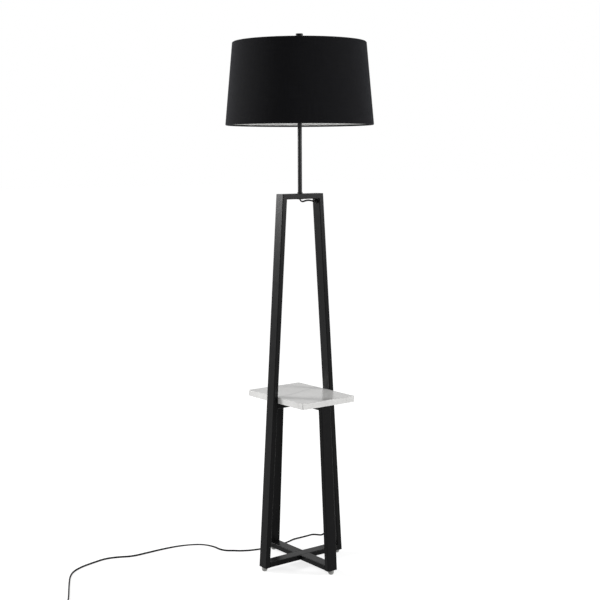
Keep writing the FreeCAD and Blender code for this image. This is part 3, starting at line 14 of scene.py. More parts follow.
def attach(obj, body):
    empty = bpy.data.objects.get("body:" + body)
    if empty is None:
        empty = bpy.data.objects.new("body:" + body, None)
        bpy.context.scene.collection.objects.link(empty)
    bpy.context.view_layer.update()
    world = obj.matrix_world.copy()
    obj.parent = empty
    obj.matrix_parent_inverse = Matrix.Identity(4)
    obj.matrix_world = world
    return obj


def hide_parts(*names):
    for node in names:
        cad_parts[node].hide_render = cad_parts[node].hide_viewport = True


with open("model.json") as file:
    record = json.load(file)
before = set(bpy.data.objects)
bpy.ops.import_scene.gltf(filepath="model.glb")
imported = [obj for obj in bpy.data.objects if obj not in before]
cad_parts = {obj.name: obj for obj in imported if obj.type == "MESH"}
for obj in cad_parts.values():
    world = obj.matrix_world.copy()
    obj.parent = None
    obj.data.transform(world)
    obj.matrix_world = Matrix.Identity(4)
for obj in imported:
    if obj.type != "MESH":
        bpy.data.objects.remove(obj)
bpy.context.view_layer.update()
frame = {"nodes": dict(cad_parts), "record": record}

MM = 0.001
MICRON = 0.000001
SCENE = bpy.context.scene
SCENE.view_settings.view_transform = "Standard"


# ---------------------------------------------------------------- camera
PICTURE_SIDE = 600
FOCAL_LENGTH = 1188.09
CAMERA_PLACE = (-2.11635, -2.77409, 1.2214)
HEADING = math.radians(-37.32)
PITCH = math.radians(90 - 6.90)
ROLL = math.radians(-0.24)


def make_camera():
    """Stands where the photograph was taken from. The picture's side and the focal length are in pixels."""
    lens = bpy.data.cameras.new("camera")
    lens.sensor_width = 36.0
    lens.lens = FOCAL_LENGTH / PICTURE_SIDE * lens.sensor_width
    lens.clip_end = 200.0
    camera = bpy.data.objects.new("camera", lens)
    SCENE.collection.objects.link(camera)
    heading = Matrix.Rotation(HEADING, 4, "Z")
    pitch = Matrix.Rotation(PITCH, 4, "X")
    roll = Matrix.Rotation(ROLL, 4, "Z")
    camera.matrix_world = Matrix.Translation(CAMERA_PLACE) @ heading @ pitch @ roll
    SCENE.camera = camera


make_camera()


# ---------------------------------------------------------------- mesh helpers
MERGED_WITHIN = 1 * MICRON
# A corner is rounded over at most this share of the shorter side beside it.
LONGEST_EASE = 0.45
# A direction that lies along no axis here, which says where a turned piece's first column is.
SKEW_WAY = (0.3, 0.9, 0.31)


def unit(vectors):
    """Each vector at a length of one."""
    return vectors / np.linalg.norm(vectors, axis=-1, keepdims=True)


def along_line(line):
    """Distance of each point of a line from its start."""
    steps = np.linalg.norm(np.diff(line, axis=0), axis=1)
    return np.concatenate([[0.0], np.cumsum(steps)])


def ways_along(line):
    """The direction of a line at each of its points."""
    return unit(np.gradient(line, axis=0))


def spaced(line, step):
    """The same line with its points a step apart: straight in between, by distance along it."""
    far = along_line(line)
    at = np.linspace(0, far[-1], int(round(far[-1] / step)) + 1)
    return np.stack([np.interp(at, far, line[:, axis]) for axis in range(3)], axis=1)


def grid_corners(rows, columns, round_rows, round_columns):
    """Row and column of the four corners of each face between neighbours on a grid."""
    row, column = np.meshgrid(
        np.arange(rows - (not round_rows)), np.arange(columns - (not round_columns)), indexing="ij"
    )
    row = row.ravel()[:, None] + np.array([0, 1, 1, 0])
    column = column.ravel()[:, None] + np.array([0, 0, 1, 1])
    return row, column


def shaped(name, points, faces, body, slot, uv=None, crease=35.0):
    """A piece from its points and faces: merged where they meet, turned outwards, and shaded smooth up to an
    angle between faces. It rides on a body and wears the finish of its slot."""
    mesh = bpy.data.meshes.new(name)
    mesh.from_pydata(points.reshape(-1, 3).tolist(), [], faces)
    if uv is not None:
        layer = mesh.uv_layers.new(name="run")
        layer.data.foreach_set("uv", uv.astype(np.float32).ravel())
    work = bmesh.new()
    work.from_mesh(mesh)
    bmesh.ops.remove_doubles(work, verts=work.verts, dist=MERGED_WITHIN)
    bmesh.ops.recalc_face_normals(work, faces=work.faces)
    work.to_mesh(mesh)
    work.free()
    mesh.shade_smooth()
    mesh.set_sharp_from_angle(angle=math.radians(crease))
    mesh.materials.append(FINISHES[slot])
    piece = bpy.data.objects.new(name, mesh)
    SCENE.collection.objects.link(piece)
    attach(piece, body)
    return piece


def gridded(
    name, points, body, slot, round_rows=False, round_columns=False, capped=False, run=None, **more
):
    """A piece from a grid of points. run is the grid of its surface coordinates, one longer where it is
    round, and capped closes its first and last rows."""
    rows, columns = points.shape[:2]
    row, column = grid_corners(rows, columns, round_rows, round_columns)
    faces = ((row % rows) * columns + column % columns).tolist()
    uv = None if run is None else run[row, column].reshape(-1, 2)
    if capped:
        first = list(range(columns))
        last = list(range((rows - 1) * columns, rows * columns))
        faces += [first, last[::-1]]
        if uv is not None:
            uv = np.concatenate([uv, np.tile(run[0, 0], (2 * columns, 1))])
    return shaped(name, points, faces, body, slot, uv=uv, **more)


def eased(corners, ease, steps=4):
    """A closed outline with rounded corners: each is a curve from a point before it to a point after it, bent
    towards the corner. ease is how far those points are from it, one length or one for each corner."""
    corners = np.asarray(corners, float)
    back = np.roll(corners, 1, 0) - corners
    ahead = np.roll(corners, -1, 0) - corners
    room = LONGEST_EASE * np.minimum(np.linalg.norm(back, axis=1), np.linalg.norm(ahead, axis=1))
    reach = np.minimum(ease, room)[:, None]
    start = (corners + unit(back) * reach)[:, None]
    end = (corners + unit(ahead) * reach)[:, None]
    share = np.linspace(0, 1, steps)[None, :, None]
    curve = start * (1 - share) ** 2 + corners[:, None] * 2 * share * (1 - share) + end * share**2
    return curve.reshape(-1, 2)


def spun(name, profile, body, slot, foot=(0, 0, 0), axis=(0, 0, 1), steps=64):
    """A piece turned about an axis through foot: each profile point is a radius and a height along it, and
    runs round a full circle."""
    profile = np.asarray(profile, float)
    axis = unit(np.array(axis, float))
    side = unit(np.cross(axis, SKEW_WAY))
    other = np.cross(axis, side)
    angle = np.linspace(0, 2 * np.pi, steps, endpoint=False)
    around = np.cos(angle)[:, None] * side + np.sin(angle)[:, None] * other
    points = np.array(foot, float) + profile[:, None, 1:] * axis + profile[:, None, :1] * around
    return gridded(name, points, body, slot, round_rows=True, round_columns=True)


def carried_across(line, wide):
    """Directions across a line: the first is given, and each next one is the last one turned as little as the
    line turns."""
    across = np.empty_like(line)
    side = np.array(wide, float)
    for index, way in enumerate(ways_along(line)):
        side = unit(side - way * np.dot(side, way))
        across[index] = side
    return across


# ---------------------------------------------------------------- finishes
# What a noise's values mostly lie between.
NOISE_LOW = 0.3
NOISE_HIGH = 0.7


def node(tree, kind, sockets=(), **settings):
    """Adds a shader node: settings are its own choices, and sockets are numbers or links for its inputs."""
    made = tree.nodes.new("ShaderNode" + kind)
    for name, value in settings.items():
        setattr(made, name, value)
    for name, value in dict(sockets).items():
        if isinstance(value, bpy.types.NodeSocket):
            tree.links.new(value, made.inputs[name])
        else:
            made.inputs[name].default_value = value
    return made


def finish(name, colour, roughness, **sockets):
    """A material with plain values on its shader's own sockets, to be varied by the nodes added to it."""
    material = bpy.data.materials.new(name)
    material.use_nodes = True
    tree = material.node_tree
    shader = tree.nodes["Principled BSDF"]
    shader.inputs["Base Color"].default_value = (*colour, 1)
    shader.inputs["Roughness"].default_value = roughness
    for socket, value in sockets.items():
        shader.inputs[socket.replace("_", " ")].default_value = value
    return material, tree, shader.inputs


def place(tree, scale=(1, 1, 1), shift=(0, 0, 0)):
    """The piece's own coordinates, scaled and shifted for a pattern."""
    origin = node(tree, "TexCoord").outputs["Object"]
    mapped = node(tree, "Mapping", {"Vector": origin, "Scale": scale, "Location": shift})
    return mapped.outputs["Vector"]


def noise(tree, where, scale, detail=3.0, roughness=0.5):
    """A noise with scale waves to the metre, in finer and finer layers."""
    sockets = {"Vector": where, "Scale": scale, "Detail": detail, "Roughness": roughness}
    return node(tree, "TexNoise", sockets).outputs["Fac"]


def spread(tree, value, low, high, start=0.0, end=1.0, smooth=False):
    """A value's range start to end, stretched to low to high."""
    kind = "SMOOTHSTEP" if smooth else "LINEAR"
    sockets = {"Value": value, "From Min": start, "From Max": end, "To Min": low, "To Max": high}
    return node(tree, "MapRange", sockets, interpolation_type=kind).outputs["Result"]


def patchy(tree, pattern, low, high):
    """A noise stretched to low to high."""
    return spread(tree, pattern, low, high, start=NOISE_LOW, end=NOISE_HIGH)


def blended(tree, share, first, second):
    """Between two colours by a share, which is a link. A colour is three numbers or a link."""
    sockets = {0: share}
    for number, colour in ((6, first), (7, second)):
        sockets[number] = colour if isinstance(colour, bpy.types.NodeSocket) else (*colour, 1)
    return node(tree, "Mix", sockets, data_type="RGBA").outputs[2]


def calc(tree, operation, first, second=0.0):
    """One step of arithmetic on numbers or links."""
    made = node(tree, "Math", {0: first, 1: second}, operation=operation)
    return made.outputs[0]


def relief_of(tree, height, depth, under=None):
    """Raises the surface by a height, where 1 is depth metres, on top of the relief under it."""
    sockets = {"Height": height, "Distance": depth, "Strength": 1.0}
    if under is not None:
        sockets["Normal"] = under
    return node(tree, "Bump", sockets).outputs["Normal"]


def wear(tree, sockets, **patterns):
    """Leads each pattern to the shader's socket of its name."""
    for socket, pattern in patterns.items():
        tree.links.new(pattern, sockets[socket.replace("_", " ")])


def powder_coat():
    """Satin black powder coat: a fine orange peel over a slow wave, and a sheen that differs a little."""
    material, tree, sockets = finish("powder_coat", (0.0036, 0.0036, 0.0038), 0.32, Specular_IOR_Level=0.075)
    here = place(tree)
    tone = patchy(tree, noise(tree, here, 9.0), 0.0, 1.0)
    wave = relief_of(tree, noise(tree, here, 160.0, detail=1.0), 8 * MICRON)
    wear(
        tree,
        sockets,
        Base_Color=blended(tree, tone, (0.0031, 0.0031, 0.0033), (0.0042, 0.0042, 0.0044)),
        Roughness=patchy(tree, noise(tree, here, 45.0), 0.30, 0.35),
        Normal=relief_of(tree, noise(tree, here, 1300.0, detail=2.0), 2.5 * MICRON, under=wave),
    )
    return material


def black_enamel(name, roughness, shine):
    """Sprayed semi-gloss enamel on turned steel: a faint wave, and faint marks of turning under it."""
    material, tree, sockets = finish(name, (0.0038, 0.0038, 0.0040), roughness, Specular_IOR_Level=shine)
    here = place(tree)
    rings = noise(tree, place(tree, scale=(1, 1, 60)), 30.0, detail=2.0)
    turned = relief_of(tree, rings, 1 * MICRON)
    wear(
        tree,
        sockets,
        Roughness=patchy(tree, noise(tree, here, 60.0), roughness - 0.04, roughness + 0.06),
        Normal=relief_of(tree, noise(tree, here, 500.0, detail=1.0), 2.5 * MICRON, under=turned),
    )
    return material


SLAB_TOP = 520.4 * MM


def marble():
    """Honed white marble: clouds of warm grey, one soft vein across the slab, and finer ones beside it. A
    vein is where the distance from a slanting plane is near nothing, with the plane bent by a noise, and a
    hair is where a noise passes its middle."""
    material, tree, sockets = finish("white_marble", (0.70, 0.695, 0.68), 0.2, Specular_IOR_Level=0.14)
    here = place(tree, shift=(0, 0, -SLAB_TOP))
    bend = node(tree, "TexNoise", {"Vector": here, "Scale": 9.0, "Detail": 5.0, "Roughness": 0.55})
    swirl = node(tree, "VectorMath", {0: bend.outputs["Color"], 1: (0.5, 0.5, 0.5)}, operation="SUBTRACT")
    scaled = node(tree, "VectorMath", {0: swirl.outputs[0], "Scale": 0.030}, operation="SCALE")
    bent = node(tree, "VectorMath", {0: here, 1: scaled.outputs[0]}, operation="ADD").outputs[0]
    clouds = noise(tree, bent, 11.0, detail=4.0, roughness=0.6)
    clouded = spread(tree, clouds, 0.0, 1.0, start=0.32, end=0.68, smooth=True)
    colour = blended(tree, clouded, (0.57, 0.567, 0.558), (0.64, 0.636, 0.625))
    # Each vein: the way across it, how far it lies from the slab's middle, its half width, and its strength.
    for across, offset, width, strength in (
        ((-0.285, 0.958, 0.30), 0.012, 0.0042, 0.75),
        ((-0.52, 0.85, 0.10), 0.074, 0.0030, 0.25),
        ((-0.40, 0.91, -0.20), -0.062, 0.0028, 0.20),
        ((0.75, 0.65, 0.15), -0.040, 0.0018, 0.12),
    ):
        square = node(tree, "VectorMath", {0: bent, 1: across}, operation="DOT_PRODUCT").outputs["Value"]
        away = calc(tree, "ABSOLUTE", calc(tree, "SUBTRACT", square, offset))
        core = spread(tree, away, strength, 0.0, start=0.0, end=width, smooth=True)
        haze = spread(tree, away, strength * 0.22, 0.0, start=0.0, end=width * 4, smooth=True)
        broken = spread(tree, noise(tree, here, 14.0), 0.55, 1.0, start=0.35, end=0.55)
        share = calc(tree, "MULTIPLY", calc(tree, "MAXIMUM", core, haze), broken)
        colour = blended(tree, share, colour, (0.33, 0.33, 0.325))
    ridges = noise(tree, bent, 24.0, detail=5.0, roughness=0.55)
    from_ridge = calc(tree, "ABSOLUTE", calc(tree, "SUBTRACT", ridges, 0.5))
    hair = spread(tree, from_ridge, 0.16, 0.0, start=0.0, end=0.02, smooth=True)
    wear(
        tree,
        sockets,
        Base_Color=blended(tree, hair, colour, (0.42, 0.42, 0.41)),
        Roughness=patchy(tree, noise(tree, here, 160.0, detail=4.0), 0.15, 0.25),
        Normal=relief_of(tree, noise(tree, here, 420.0, detail=4.0), 10 * MICRON),
    )
    return material


THREAD = 0.62 * MM


def linen():
    """Black linen: threads each way that pass over and under each other in turn, some thicker than others,
    laid on the cloth's own coordinates in metres. A thread's height across it is a sine, taken without its
    sign. The colour is painted darker at the threads' edges and where a thread passes under, as painted shade
    in the gaps of the weave."""
    material, tree, sockets = finish(
        "black_linen",
        (0.0060, 0.0060, 0.0067),
        0.85,
        Specular_IOR_Level=0.05,
        Sheen_Weight=0.06,
        Sheen_Roughness=0.35,
        Sheen_Tint=(0.85, 0.88, 1.0, 1.0),
    )
    across_thread = 900.0
    along_thread = 14.0
    passing_under = 0.55
    run = node(tree, "UVMap", uv_map="run").outputs["UV"]
    apart = node(tree, "SeparateXYZ", {"Vector": run})
    slubs = {}
    ridges = {}
    for way, scale in (("X", (across_thread, along_thread, 1.0)), ("Y", (along_thread, across_thread, 1.0))):
        stretched = node(tree, "Mapping", {"Vector": run, "Scale": scale}).outputs["Vector"]
        slubs[way] = noise(tree, stretched, 1.0, detail=2.0)
        wander = calc(tree, "MULTIPLY", slubs[way], 0.9)
        turns = calc(tree, "ADD", calc(tree, "DIVIDE", apart.outputs[way], THREAD), wander)
        ridges[way] = calc(tree, "ABSOLUTE", calc(tree, "SINE", calc(tree, "MULTIPLY", turns, math.pi)))
    colours = {"Color1": (1, 1, 1, 1), "Color2": (0, 0, 0, 1)}
    checks = node(tree, "TexChecker", {"Vector": run, "Scale": 1 / THREAD, **colours}).outputs["Fac"]
    over = calc(tree, "MULTIPLY", ridges["X"], spread(tree, checks, passing_under, 1.0))
    under = calc(tree, "MULTIPLY", ridges["Y"], spread(tree, checks, 1.0, passing_under))
    threads = calc(tree, "MAXIMUM", over, under)
    thick = calc(tree, "MULTIPLY", calc(tree, "ADD", slubs["X"], slubs["Y"]), 0.5)
    tone = spread(tree, thick, 0.0, 1.0, start=0.36, end=0.64)
    cloth = blended(tree, tone, (0.0054, 0.0054, 0.0062), (0.0086, 0.0086, 0.0097))
    # Painted shade: the cloth's colour goes darker in the gaps between threads and where a thread passes
    # under.
    out_of_painted_gap_shade = spread(tree, threads, 0.0, 1.0, end=0.7)
    coarse = relief_of(tree, thick, 250 * MICRON)
    wear(
        tree,
        sockets,
        Base_Color=blended(tree, out_of_painted_gap_shade, (0.0022, 0.0022, 0.0026), cloth),
        Normal=relief_of(tree, threads, 160 * MICRON, under=coarse),
    )
    return material


def shade_lining():
    """White lining film: faint fibres under a finely grained face."""
    material, tree, sockets = finish("white_lining", (0.90, 0.90, 0.89), 0.6, Specular_IOR_Level=0.2)
    here = place(tree)
    fibres = noise(tree, place(tree, scale=(1, 1, 0.15)), 500.0, roughness=0.6)
    tone = patchy(tree, fibres, 0.0, 1.0)
    wear(
        tree,
        sockets,
        Base_Color=blended(tree, tone, (0.885, 0.885, 0.875), (0.915, 0.915, 0.905)),
        Normal=relief_of(tree, noise(tree, here, 900.0, detail=2.0), 10 * MICRON),
    )
    return material


def moulded(name, colour, roughness, grain=1500.0, depth=30 * MICRON, vary=0.12, **more):
    """Moulded plastic or rubber: a fine spark-eroded grain, and a tone that differs slowly."""
    material, tree, sockets = finish(name, colour, roughness, **more)
    here = place(tree)
    tone = patchy(tree, noise(tree, here, 70.0), 0.0, 1.0)
    darker = tuple(channel * (1 - vary) for channel in colour)
    lighter = tuple(channel * (1 + vary) for channel in colour)
    shine = noise(tree, here, 240.0, detail=2.0)
    wear(
        tree,
        sockets,
        Base_Color=blended(tree, tone, darker, lighter),
        Roughness=patchy(tree, shine, roughness - 0.06, roughness + 0.06),
        Normal=relief_of(tree, noise(tree, here, grain, detail=2.0), depth),
    )
    return material


def plated(name, colour, roughness, streaks=(1, 1, 40)):
    """Bare or plated metal: fine marks of turning or brushing, and patches that are duller and darker."""
    material, tree, sockets = finish(name, colour, roughness, Metallic=1.0)
    patches = noise(tree, place(tree), 55.0, detail=4.0)
    marks = noise(tree, place(tree, scale=streaks), 140.0, detail=2.0)
    dim = tuple(channel * 0.86 for channel in colour)
    wear(
        tree,
        sockets,
        Base_Color=blended(tree, patchy(tree, patches, 0.0, 1.0), colour, dim),
        Roughness=patchy(tree, patches, roughness - 0.05, roughness + 0.10),
        Normal=relief_of(tree, marks, 20 * MICRON),
    )
    return material


def card():
    """Brown insulating card, with fibres."""
    material, tree, sockets = finish("brown_card", (0.45, 0.36, 0.24), 0.8, Specular_IOR_Level=0.2)
    fibres = noise(tree, place(tree, scale=(1, 1, 0.2)), 900.0, detail=4.0, roughness=0.7)
    wear(
        tree,
        sockets,
        Base_Color=blended(tree, fibres, (0.34, 0.26, 0.16), (0.52, 0.42, 0.29)),
        Normal=relief_of(tree, fibres, 60 * MICRON),
    )
    return material


def opal_glass():
    """Opal glass: milky all through, with a soft shine."""
    material, tree, sockets = finish(
        "opal_glass",
        (0.90, 0.90, 0.88),
        0.22,
        Subsurface_Weight=0.35,
        Subsurface_Scale=0.004,
        Subsurface_Radius=(1.0, 0.97, 0.93),
    )
    here = place(tree)
    milk = patchy(tree, noise(tree, here, 25.0), 0.0, 1.0)
    wear(
        tree,
        sockets,
        Base_Color=blended(tree, milk, (0.88, 0.88, 0.86), (0.93, 0.93, 0.91)),
        Normal=relief_of(tree, noise(tree, here, 120.0), 20 * MICRON),
    )
    return material


FINISHES = {
    "frame_black": powder_coat(),
    "post_black": black_enamel("post_enamel", 0.30, shine=0.24),
    "finial_black": black_enamel("finial_enamel", 0.36, shine=0.08),
    "marble": marble(),
    "shade_fabric": linen(),
    "lining": shade_lining(),
    "wire_white": moulded("coated_wire", (0.75, 0.75, 0.73), 0.40, grain=350.0, depth=8 * MICRON, vary=0.04),
    "black_plastic": moulded("black_moulding", (0.007, 0.007, 0.007), 0.45, Specular_IOR_Level=0.2),
    "cord_black": moulded(
        "black_sheath", (0.005, 0.005, 0.005), 0.45, grain=900.0, depth=10 * MICRON, Specular_IOR_Level=0.06
    ),
    "glide_grey": moulded("grey_glide", (0.25, 0.25, 0.24), 0.45, vary=0.06, Specular_IOR_Level=0.35),
    "zinc_steel": plated("zinc_plate", (0.60, 0.60, 0.58), 0.36),
    "brass": plated("turned_brass", (0.72, 0.53, 0.25), 0.28),
    "nickel": plated("satin_nickel", (0.68, 0.66, 0.62), 0.30),
    "insulating_card": card(),
    "phenolic": moulded("brown_phenolic", (0.030, 0.027, 0.024), 0.35),
    "blade_metal": plated("plug_plate", (0.70, 0.68, 0.62), 0.26, streaks=(20, 1, 20)),
    "opal_glass": opal_glass(),
    "aluminium_cap": plated("rolled_aluminium", (0.78, 0.78, 0.77), 0.30, streaks=(1, 1, 8)),
}


def finish_cad_nodes():
    """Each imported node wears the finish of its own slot."""
    for part in frame["record"]["subparts"]:
        for slot in frame["nodes"][part["node"]].material_slots:
            slot.material = FINISHES[part["material_slot"]]


finish_cad_nodes()


# ---------------------------------------------------------------- cords
CORD_WIDTH = 5.4 * MM
CORE_RADIUS = 1.8 * MM
CORE_OFFSET = CORD_WIDTH / 2 - CORE_RADIUS
# The cord's middle is this high where it lies flat, and half its width high where it stands on its edge.
LYING_FLAT = 1.9 * MM
CORD_STEP = 2.5 * MM
LEAD_STEP = 2.0 * MM
LEAD_START_WIDE = (0.75, 0.66, 0)
COIL_CENTRE = (-725.5 * MM, 39.5 * MM)
COIL_START = math.radians(149.0)
COIL_OUTER = 34.5 * MM
COIL_PITCH = 6.0 * MM
COIL_LEAD_IN = 27 * MM
LAYER_TURNS = 1.375
CLIMB_TURNS = 0.5
TURN_POINTS = 16
SUNK_IN_PLUG = 9 * MM

# The free cord from the exit strain relief to the coil. It hangs on edge and twists as it lies on the floor:
# nearly flat under the shelf and at the far side of the wide bend, and up on its edge at the kink between
# them and on the way to the coil.
CORD_ROUTE = [
    (0.13487, 0.0372, 0.0510),
    (0.13487, 0.0520, 0.0510),
    (0.1336, 0.0675, 0.0374),
    (0.1342, 0.0890, 0.0326),
    (0.1370, 0.1095, 0.0280),
    (0.1402, 0.1300, 0.0216),
    (0.1406, 0.1490, 0.0132),
    (0.1350, 0.1640, 0.0068),
    (0.1215, 0.1730, 0.0032),
    (0.1010, 0.1752, 0.0024),
    (0.0760, 0.1660, 0.0021),
    (0.0400, 0.1610, 0.0019),
    (0.0020, 0.1602, 0.0019),
    (-0.0360, 0.1625, 0.0021),
    (-0.0720, 0.1718, 0.0024),
    (-0.0990, 0.1880, 0.0025),
    (-0.1140, 0.2030, 0.0026),
    (-0.1300, 0.2140, 0.0027),
    (-0.1400, 0.2360, 0.0027),
    (-0.1380, 0.2720, 0.0021),
    (-0.1540, 0.3130, 0.0019),
    (-0.1910, 0.3365, 0.0019),
    (-0.2370, 0.3478, 0.0023),
    (-0.2890, 0.3505, 0.0025),
    (-0.3420, 0.3492, 0.0026),
    (-0.3890, 0.3490, 0.0026),
    (-0.4280, 0.3712, 0.0026),
    (-0.4660, 0.3810, 0.0026),
    (-0.5120, 0.3705, 0.0026),
    (-0.5560, 0.3590, 0.0026),
    (-0.5950, 0.3360, 0.0026),
    (-0.6215, 0.3020, 0.0026),
    (-0.6430, 0.2630, 0.0026),
    (-0.6685, 0.2145, 0.0026),
    (-0.6900, 0.1720, 0.0026),
    (-0.7110, 0.1330, 0.0027),
]

# The lead inside the lamp: down the post, across under the crossbar, and down in the back right leg.
LEAD_ROUTE = [
    (0.0000, 0.0, 1.3505),
    (0.0000, 0.0, 1.3000),
    (0.0000, 0.0, 1.2000),
    (0.0000, 0.0, 1.1300),
    (0.0000, 0.0, 1.1040),
    (-0.0006, 0.0, 1.0942),
    (0.0080, 0.0, 1.0885),
    (0.0190, 0.0, 1.0915),
    (0.0290, 0.0, 1.0930),
    (0.0400, 0.0, 1.0918),
    (0.0500, 0.0, 1.0895),
    (0.0600, 0.0, 1.0898),
    (0.0665, 0.0, 1.0905),
    (0.0688, 0.0, 1.0780),
    (0.0740, 0.0, 0.9900),
    (0.0840, 0.0, 0.8360),
    (0.1000, 0.0, 0.5900),
    (0.1200, 0.0, 0.2800),
    (0.1319, 0.0, 0.0960),
    (0.1338, 0.0, 0.0680),
    (0.1349, 0.0, 0.0510),
    (0.1349, 0.0190, 0.0510),
    (0.1349, 0.0372, 0.0510),
]


def nurbs_line(route, step):
    """Points on the smooth line that a route's points pull to themselves, even steps apart."""
    curve = bpy.data.curves.new("route", "CURVE")
    curve.dimensions = "3D"
    curve.resolution_u = 16
    spline = curve.splines.new("NURBS")
    spline.points.add(len(route) - 1)
    for point, at in zip(spline.points, route):
        point.co = (*at, 1.0)
    spline.order_u = 3
    spline.use_endpoint_u = True
    holder = bpy.data.objects.new("route", curve)
    SCENE.collection.objects.link(holder)
    bpy.context.view_layer.update()
    evaluated = holder.evaluated_get(bpy.context.evaluated_depsgraph_get())
    mesh = bpy.data.meshes.new_from_object(evaluated)
    line = np.empty(3 * len(mesh.vertices))
    mesh.vertices.foreach_get("co", line)
    bpy.data.objects.remove(holder)
    bpy.data.meshes.remove(mesh)
    bpy.data.curves.remove(curve)
    return spaced(line.reshape(-1, 3), step)


def coil_points():
    """The coil's own points: a spiral that winds in on the floor, climbs for half a turn while it reverses,
    and winds out again on top. Its radius differs by a pitch each turn, and its height by a pitch in all, as
    a smooth step. The points stand a little outside the turns, because the cord cuts inside them."""
    total = 2 * LAYER_TURNS + CLIMB_TURNS
    turns = np.linspace(0, total, int(round(total * TURN_POINTS)) + 1)
    share = np.clip((turns - LAYER_TURNS) / CLIMB_TURNS, 0, 1)
    wound_in = np.minimum(turns, LAYER_TURNS)
    wound_out = np.maximum(turns - LAYER_TURNS - CLIMB_TURNS, 0)
    radius = COIL_OUTER - COIL_PITCH * (wound_in - wound_out) - COIL_PITCH * CLIMB_TURNS * share * (1 - share)
    height = CORD_WIDTH / 2 + COIL_PITCH * (3 * share**2 - 2 * share**3)
    angle = COIL_START + 2 * np.pi * turns
    outside = radius / np.cos(np.pi / TURN_POINTS)
    x = COIL_CENTRE[0] + outside * np.cos(angle)
    y = COIL_CENTRE[1] + outside * np.sin(angle)
    return np.stack([x, y, height], axis=1)


def two_core_outline():
    """The flat cord's section: two round cores that run into each other, with a shallow groove between them.
    Each core is an arc about its own centre, as far round as the groove."""
    groove = math.pi - math.acos(CORE_OFFSET / CORE_RADIUS)
    arc = np.linspace(-groove, groove, 12)
    right = np.stack([CORE_OFFSET + CORE_RADIUS * np.cos(arc), CORE_RADIUS * np.sin(arc)], axis=1)
    return np.concatenate([right[:-1], -right[:-1]])


def sheathed(name, line, wide, body):
    """A flat two-core cord carried along a line: each ring is the section, its wide way along wide. Its
    surface coordinates are the lengths along it and round it."""
    ahead = ways_along(line)
    thin = unit(np.cross(ahead, wide))
    across = np.cross(thin, ahead)
    outline = two_core_outline()
    ring = outline[None, :, :1] * across[:, None] + outline[None, :, 1:] * thin[:, None]
    around = along_line(np.concatenate([outline, outline[:1]]))
    run = np.stack(np.meshgrid(along_line(line), around, indexing="ij"), axis=2)
    points = line[:, None] + ring
    return gridded(name, points, body, "cord_black", round_columns=True, capped=True, run=run, crease=50.0)


def on_edge(line):
    """How far the cord is turned up on its edge. The angle's sine is the share that the line has risen of the
    way from LYING_FLAT to half the cord's width."""
    return np.arcsin(np.clip((line[:, 2] - LYING_FLAT) / (CORD_WIDTH / 2 - LYING_FLAT), 0, 1))


def make_cord():
    """The free cord and its coil as one line that ends inside the plug's neck. Its wide way is level, turned
    up by on_edge's angle."""
    coil = coil_points()
    before = coil[0] - unit(coil[1] - coil[0]) * COIL_LEAD_IN
    way_out = unit(coil[-1] - coil[-2])
    end = coil[-1] + way_out * CORD_WIDTH
    line = nurbs_line([*CORD_ROUTE, before, *coil, end, end + way_out * SUNK_IN_PLUG], CORD_STEP)
    ahead = ways_along(line)
    level = unit(np.cross(ahead, (0, 0, 1)))
    rise = np.cross(level, ahead)
    tilt = on_edge(line)[:, None]
    cord = sheathed("mains_cord", line, level * np.cos(tilt) + rise * np.sin(tilt), "lamp")
    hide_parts("cord_free", "cord_coil")
    return cord, line, end, way_out


def make_lead():
    """The lead inside the lamp. Its wide way starts level, between +X and +Y, and turns as little as its line
    does."""
    line = nurbs_line(LEAD_ROUTE, LEAD_STEP)
    lead = sheathed("inner_lead", line, carried_across(line, LEAD_START_WIDE), "lamp")
    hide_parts("lamp_lead", "lamp_lead_exit")
    return lead, line


cord, cord_line, plug_foot, plug_way = make_cord()
lead, lead_line = make_lead()


# ---------------------------------------------------------------- strain reliefs and plug
RELIEF_BORE = 2.8 * MM
RELIEF_NECK = 4.6 * MM
RELIEF_NECK_LONG = 3.1 * MM
FLANGE_HIGH = 2.0 * MM
GROOVE_DEPTH = 0.9 * MM
# The end of a rib's rim and the start of the groove above it, as shares of one step up the nose.
RIM_SHARE = 0.62
GROOVE_SHARE = 0.66
# How far the tall frame's legs lean in as they rise: their reach at foot and top, over their height.
TALL_SLOPE = (137.4 - 65.9) / (1113.0 - 12.0)


def ribbed_nose(name, foot, axis, flange, root, tip, nose, ribs, node_name):
    """A strain relief: a flange with rounded edges and a tapering nose of ribs, open for the cord. The ribs
    are steps out of the taper from the radius root to the radius tip, and a neck goes back into the tube."""
    profile = [
        (RELIEF_BORE, -RELIEF_NECK_LONG),
        (RELIEF_NECK - 0.6 * MM, -RELIEF_NECK_LONG),
        (RELIEF_NECK, -RELIEF_NECK_LONG + 0.8 * MM),
        (RELIEF_NECK, 0),
        (flange, 0),
        (flange, FLANGE_HIGH),
    ]
    step = nose / ribs
    for rib in range(ribs):
        low = FLANGE_HIGH + rib * step
        wide = root + (tip - root) * rib / (ribs - 1)
        profile += [(wide, low + 0.05 * MM), (wide, low + step * RIM_SHARE)]
        if rib < ribs - 1:
            narrow = wide - GROOVE_DEPTH
            profile += [(narrow, low + step * GROOVE_SHARE), (narrow, low + step)]
    profile += [(tip, FLANGE_HIGH + nose), (RELIEF_BORE, FLANGE_HIGH + nose)]
    outline = eased(profile, 0.35 * MM, steps=3)
    relief = spun(name, outline, "lamp", "black_plastic", foot=foot, axis=axis, steps=48)
    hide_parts(node_name)
    return relief


top_relief = ribbed_nose(
    "lead_grommet",
    foot=(59.54 * MM, 0, 1089.8 * MM),
    axis=(-1, 0, -TALL_SLOPE),
    flange=7.4 * MM,
    root=5.6 * MM,
    tip=3.8 * MM,
    nose=9.0 * MM,
    ribs=3,
    node_name="top_strain_relief",
)
exit_relief = ribbed_nose(
    "cord_grommet",
    foot=(134.87 * MM, 17.2 * MM, 51.0 * MM),
    axis=(0, 1, 0),
    flange=5.8 * MM,
    root=4.8 * MM,
    tip=3.6 * MM,
    nose=18.0 * MM,
    ribs=6,
    node_name="exit_strain_relief",
)


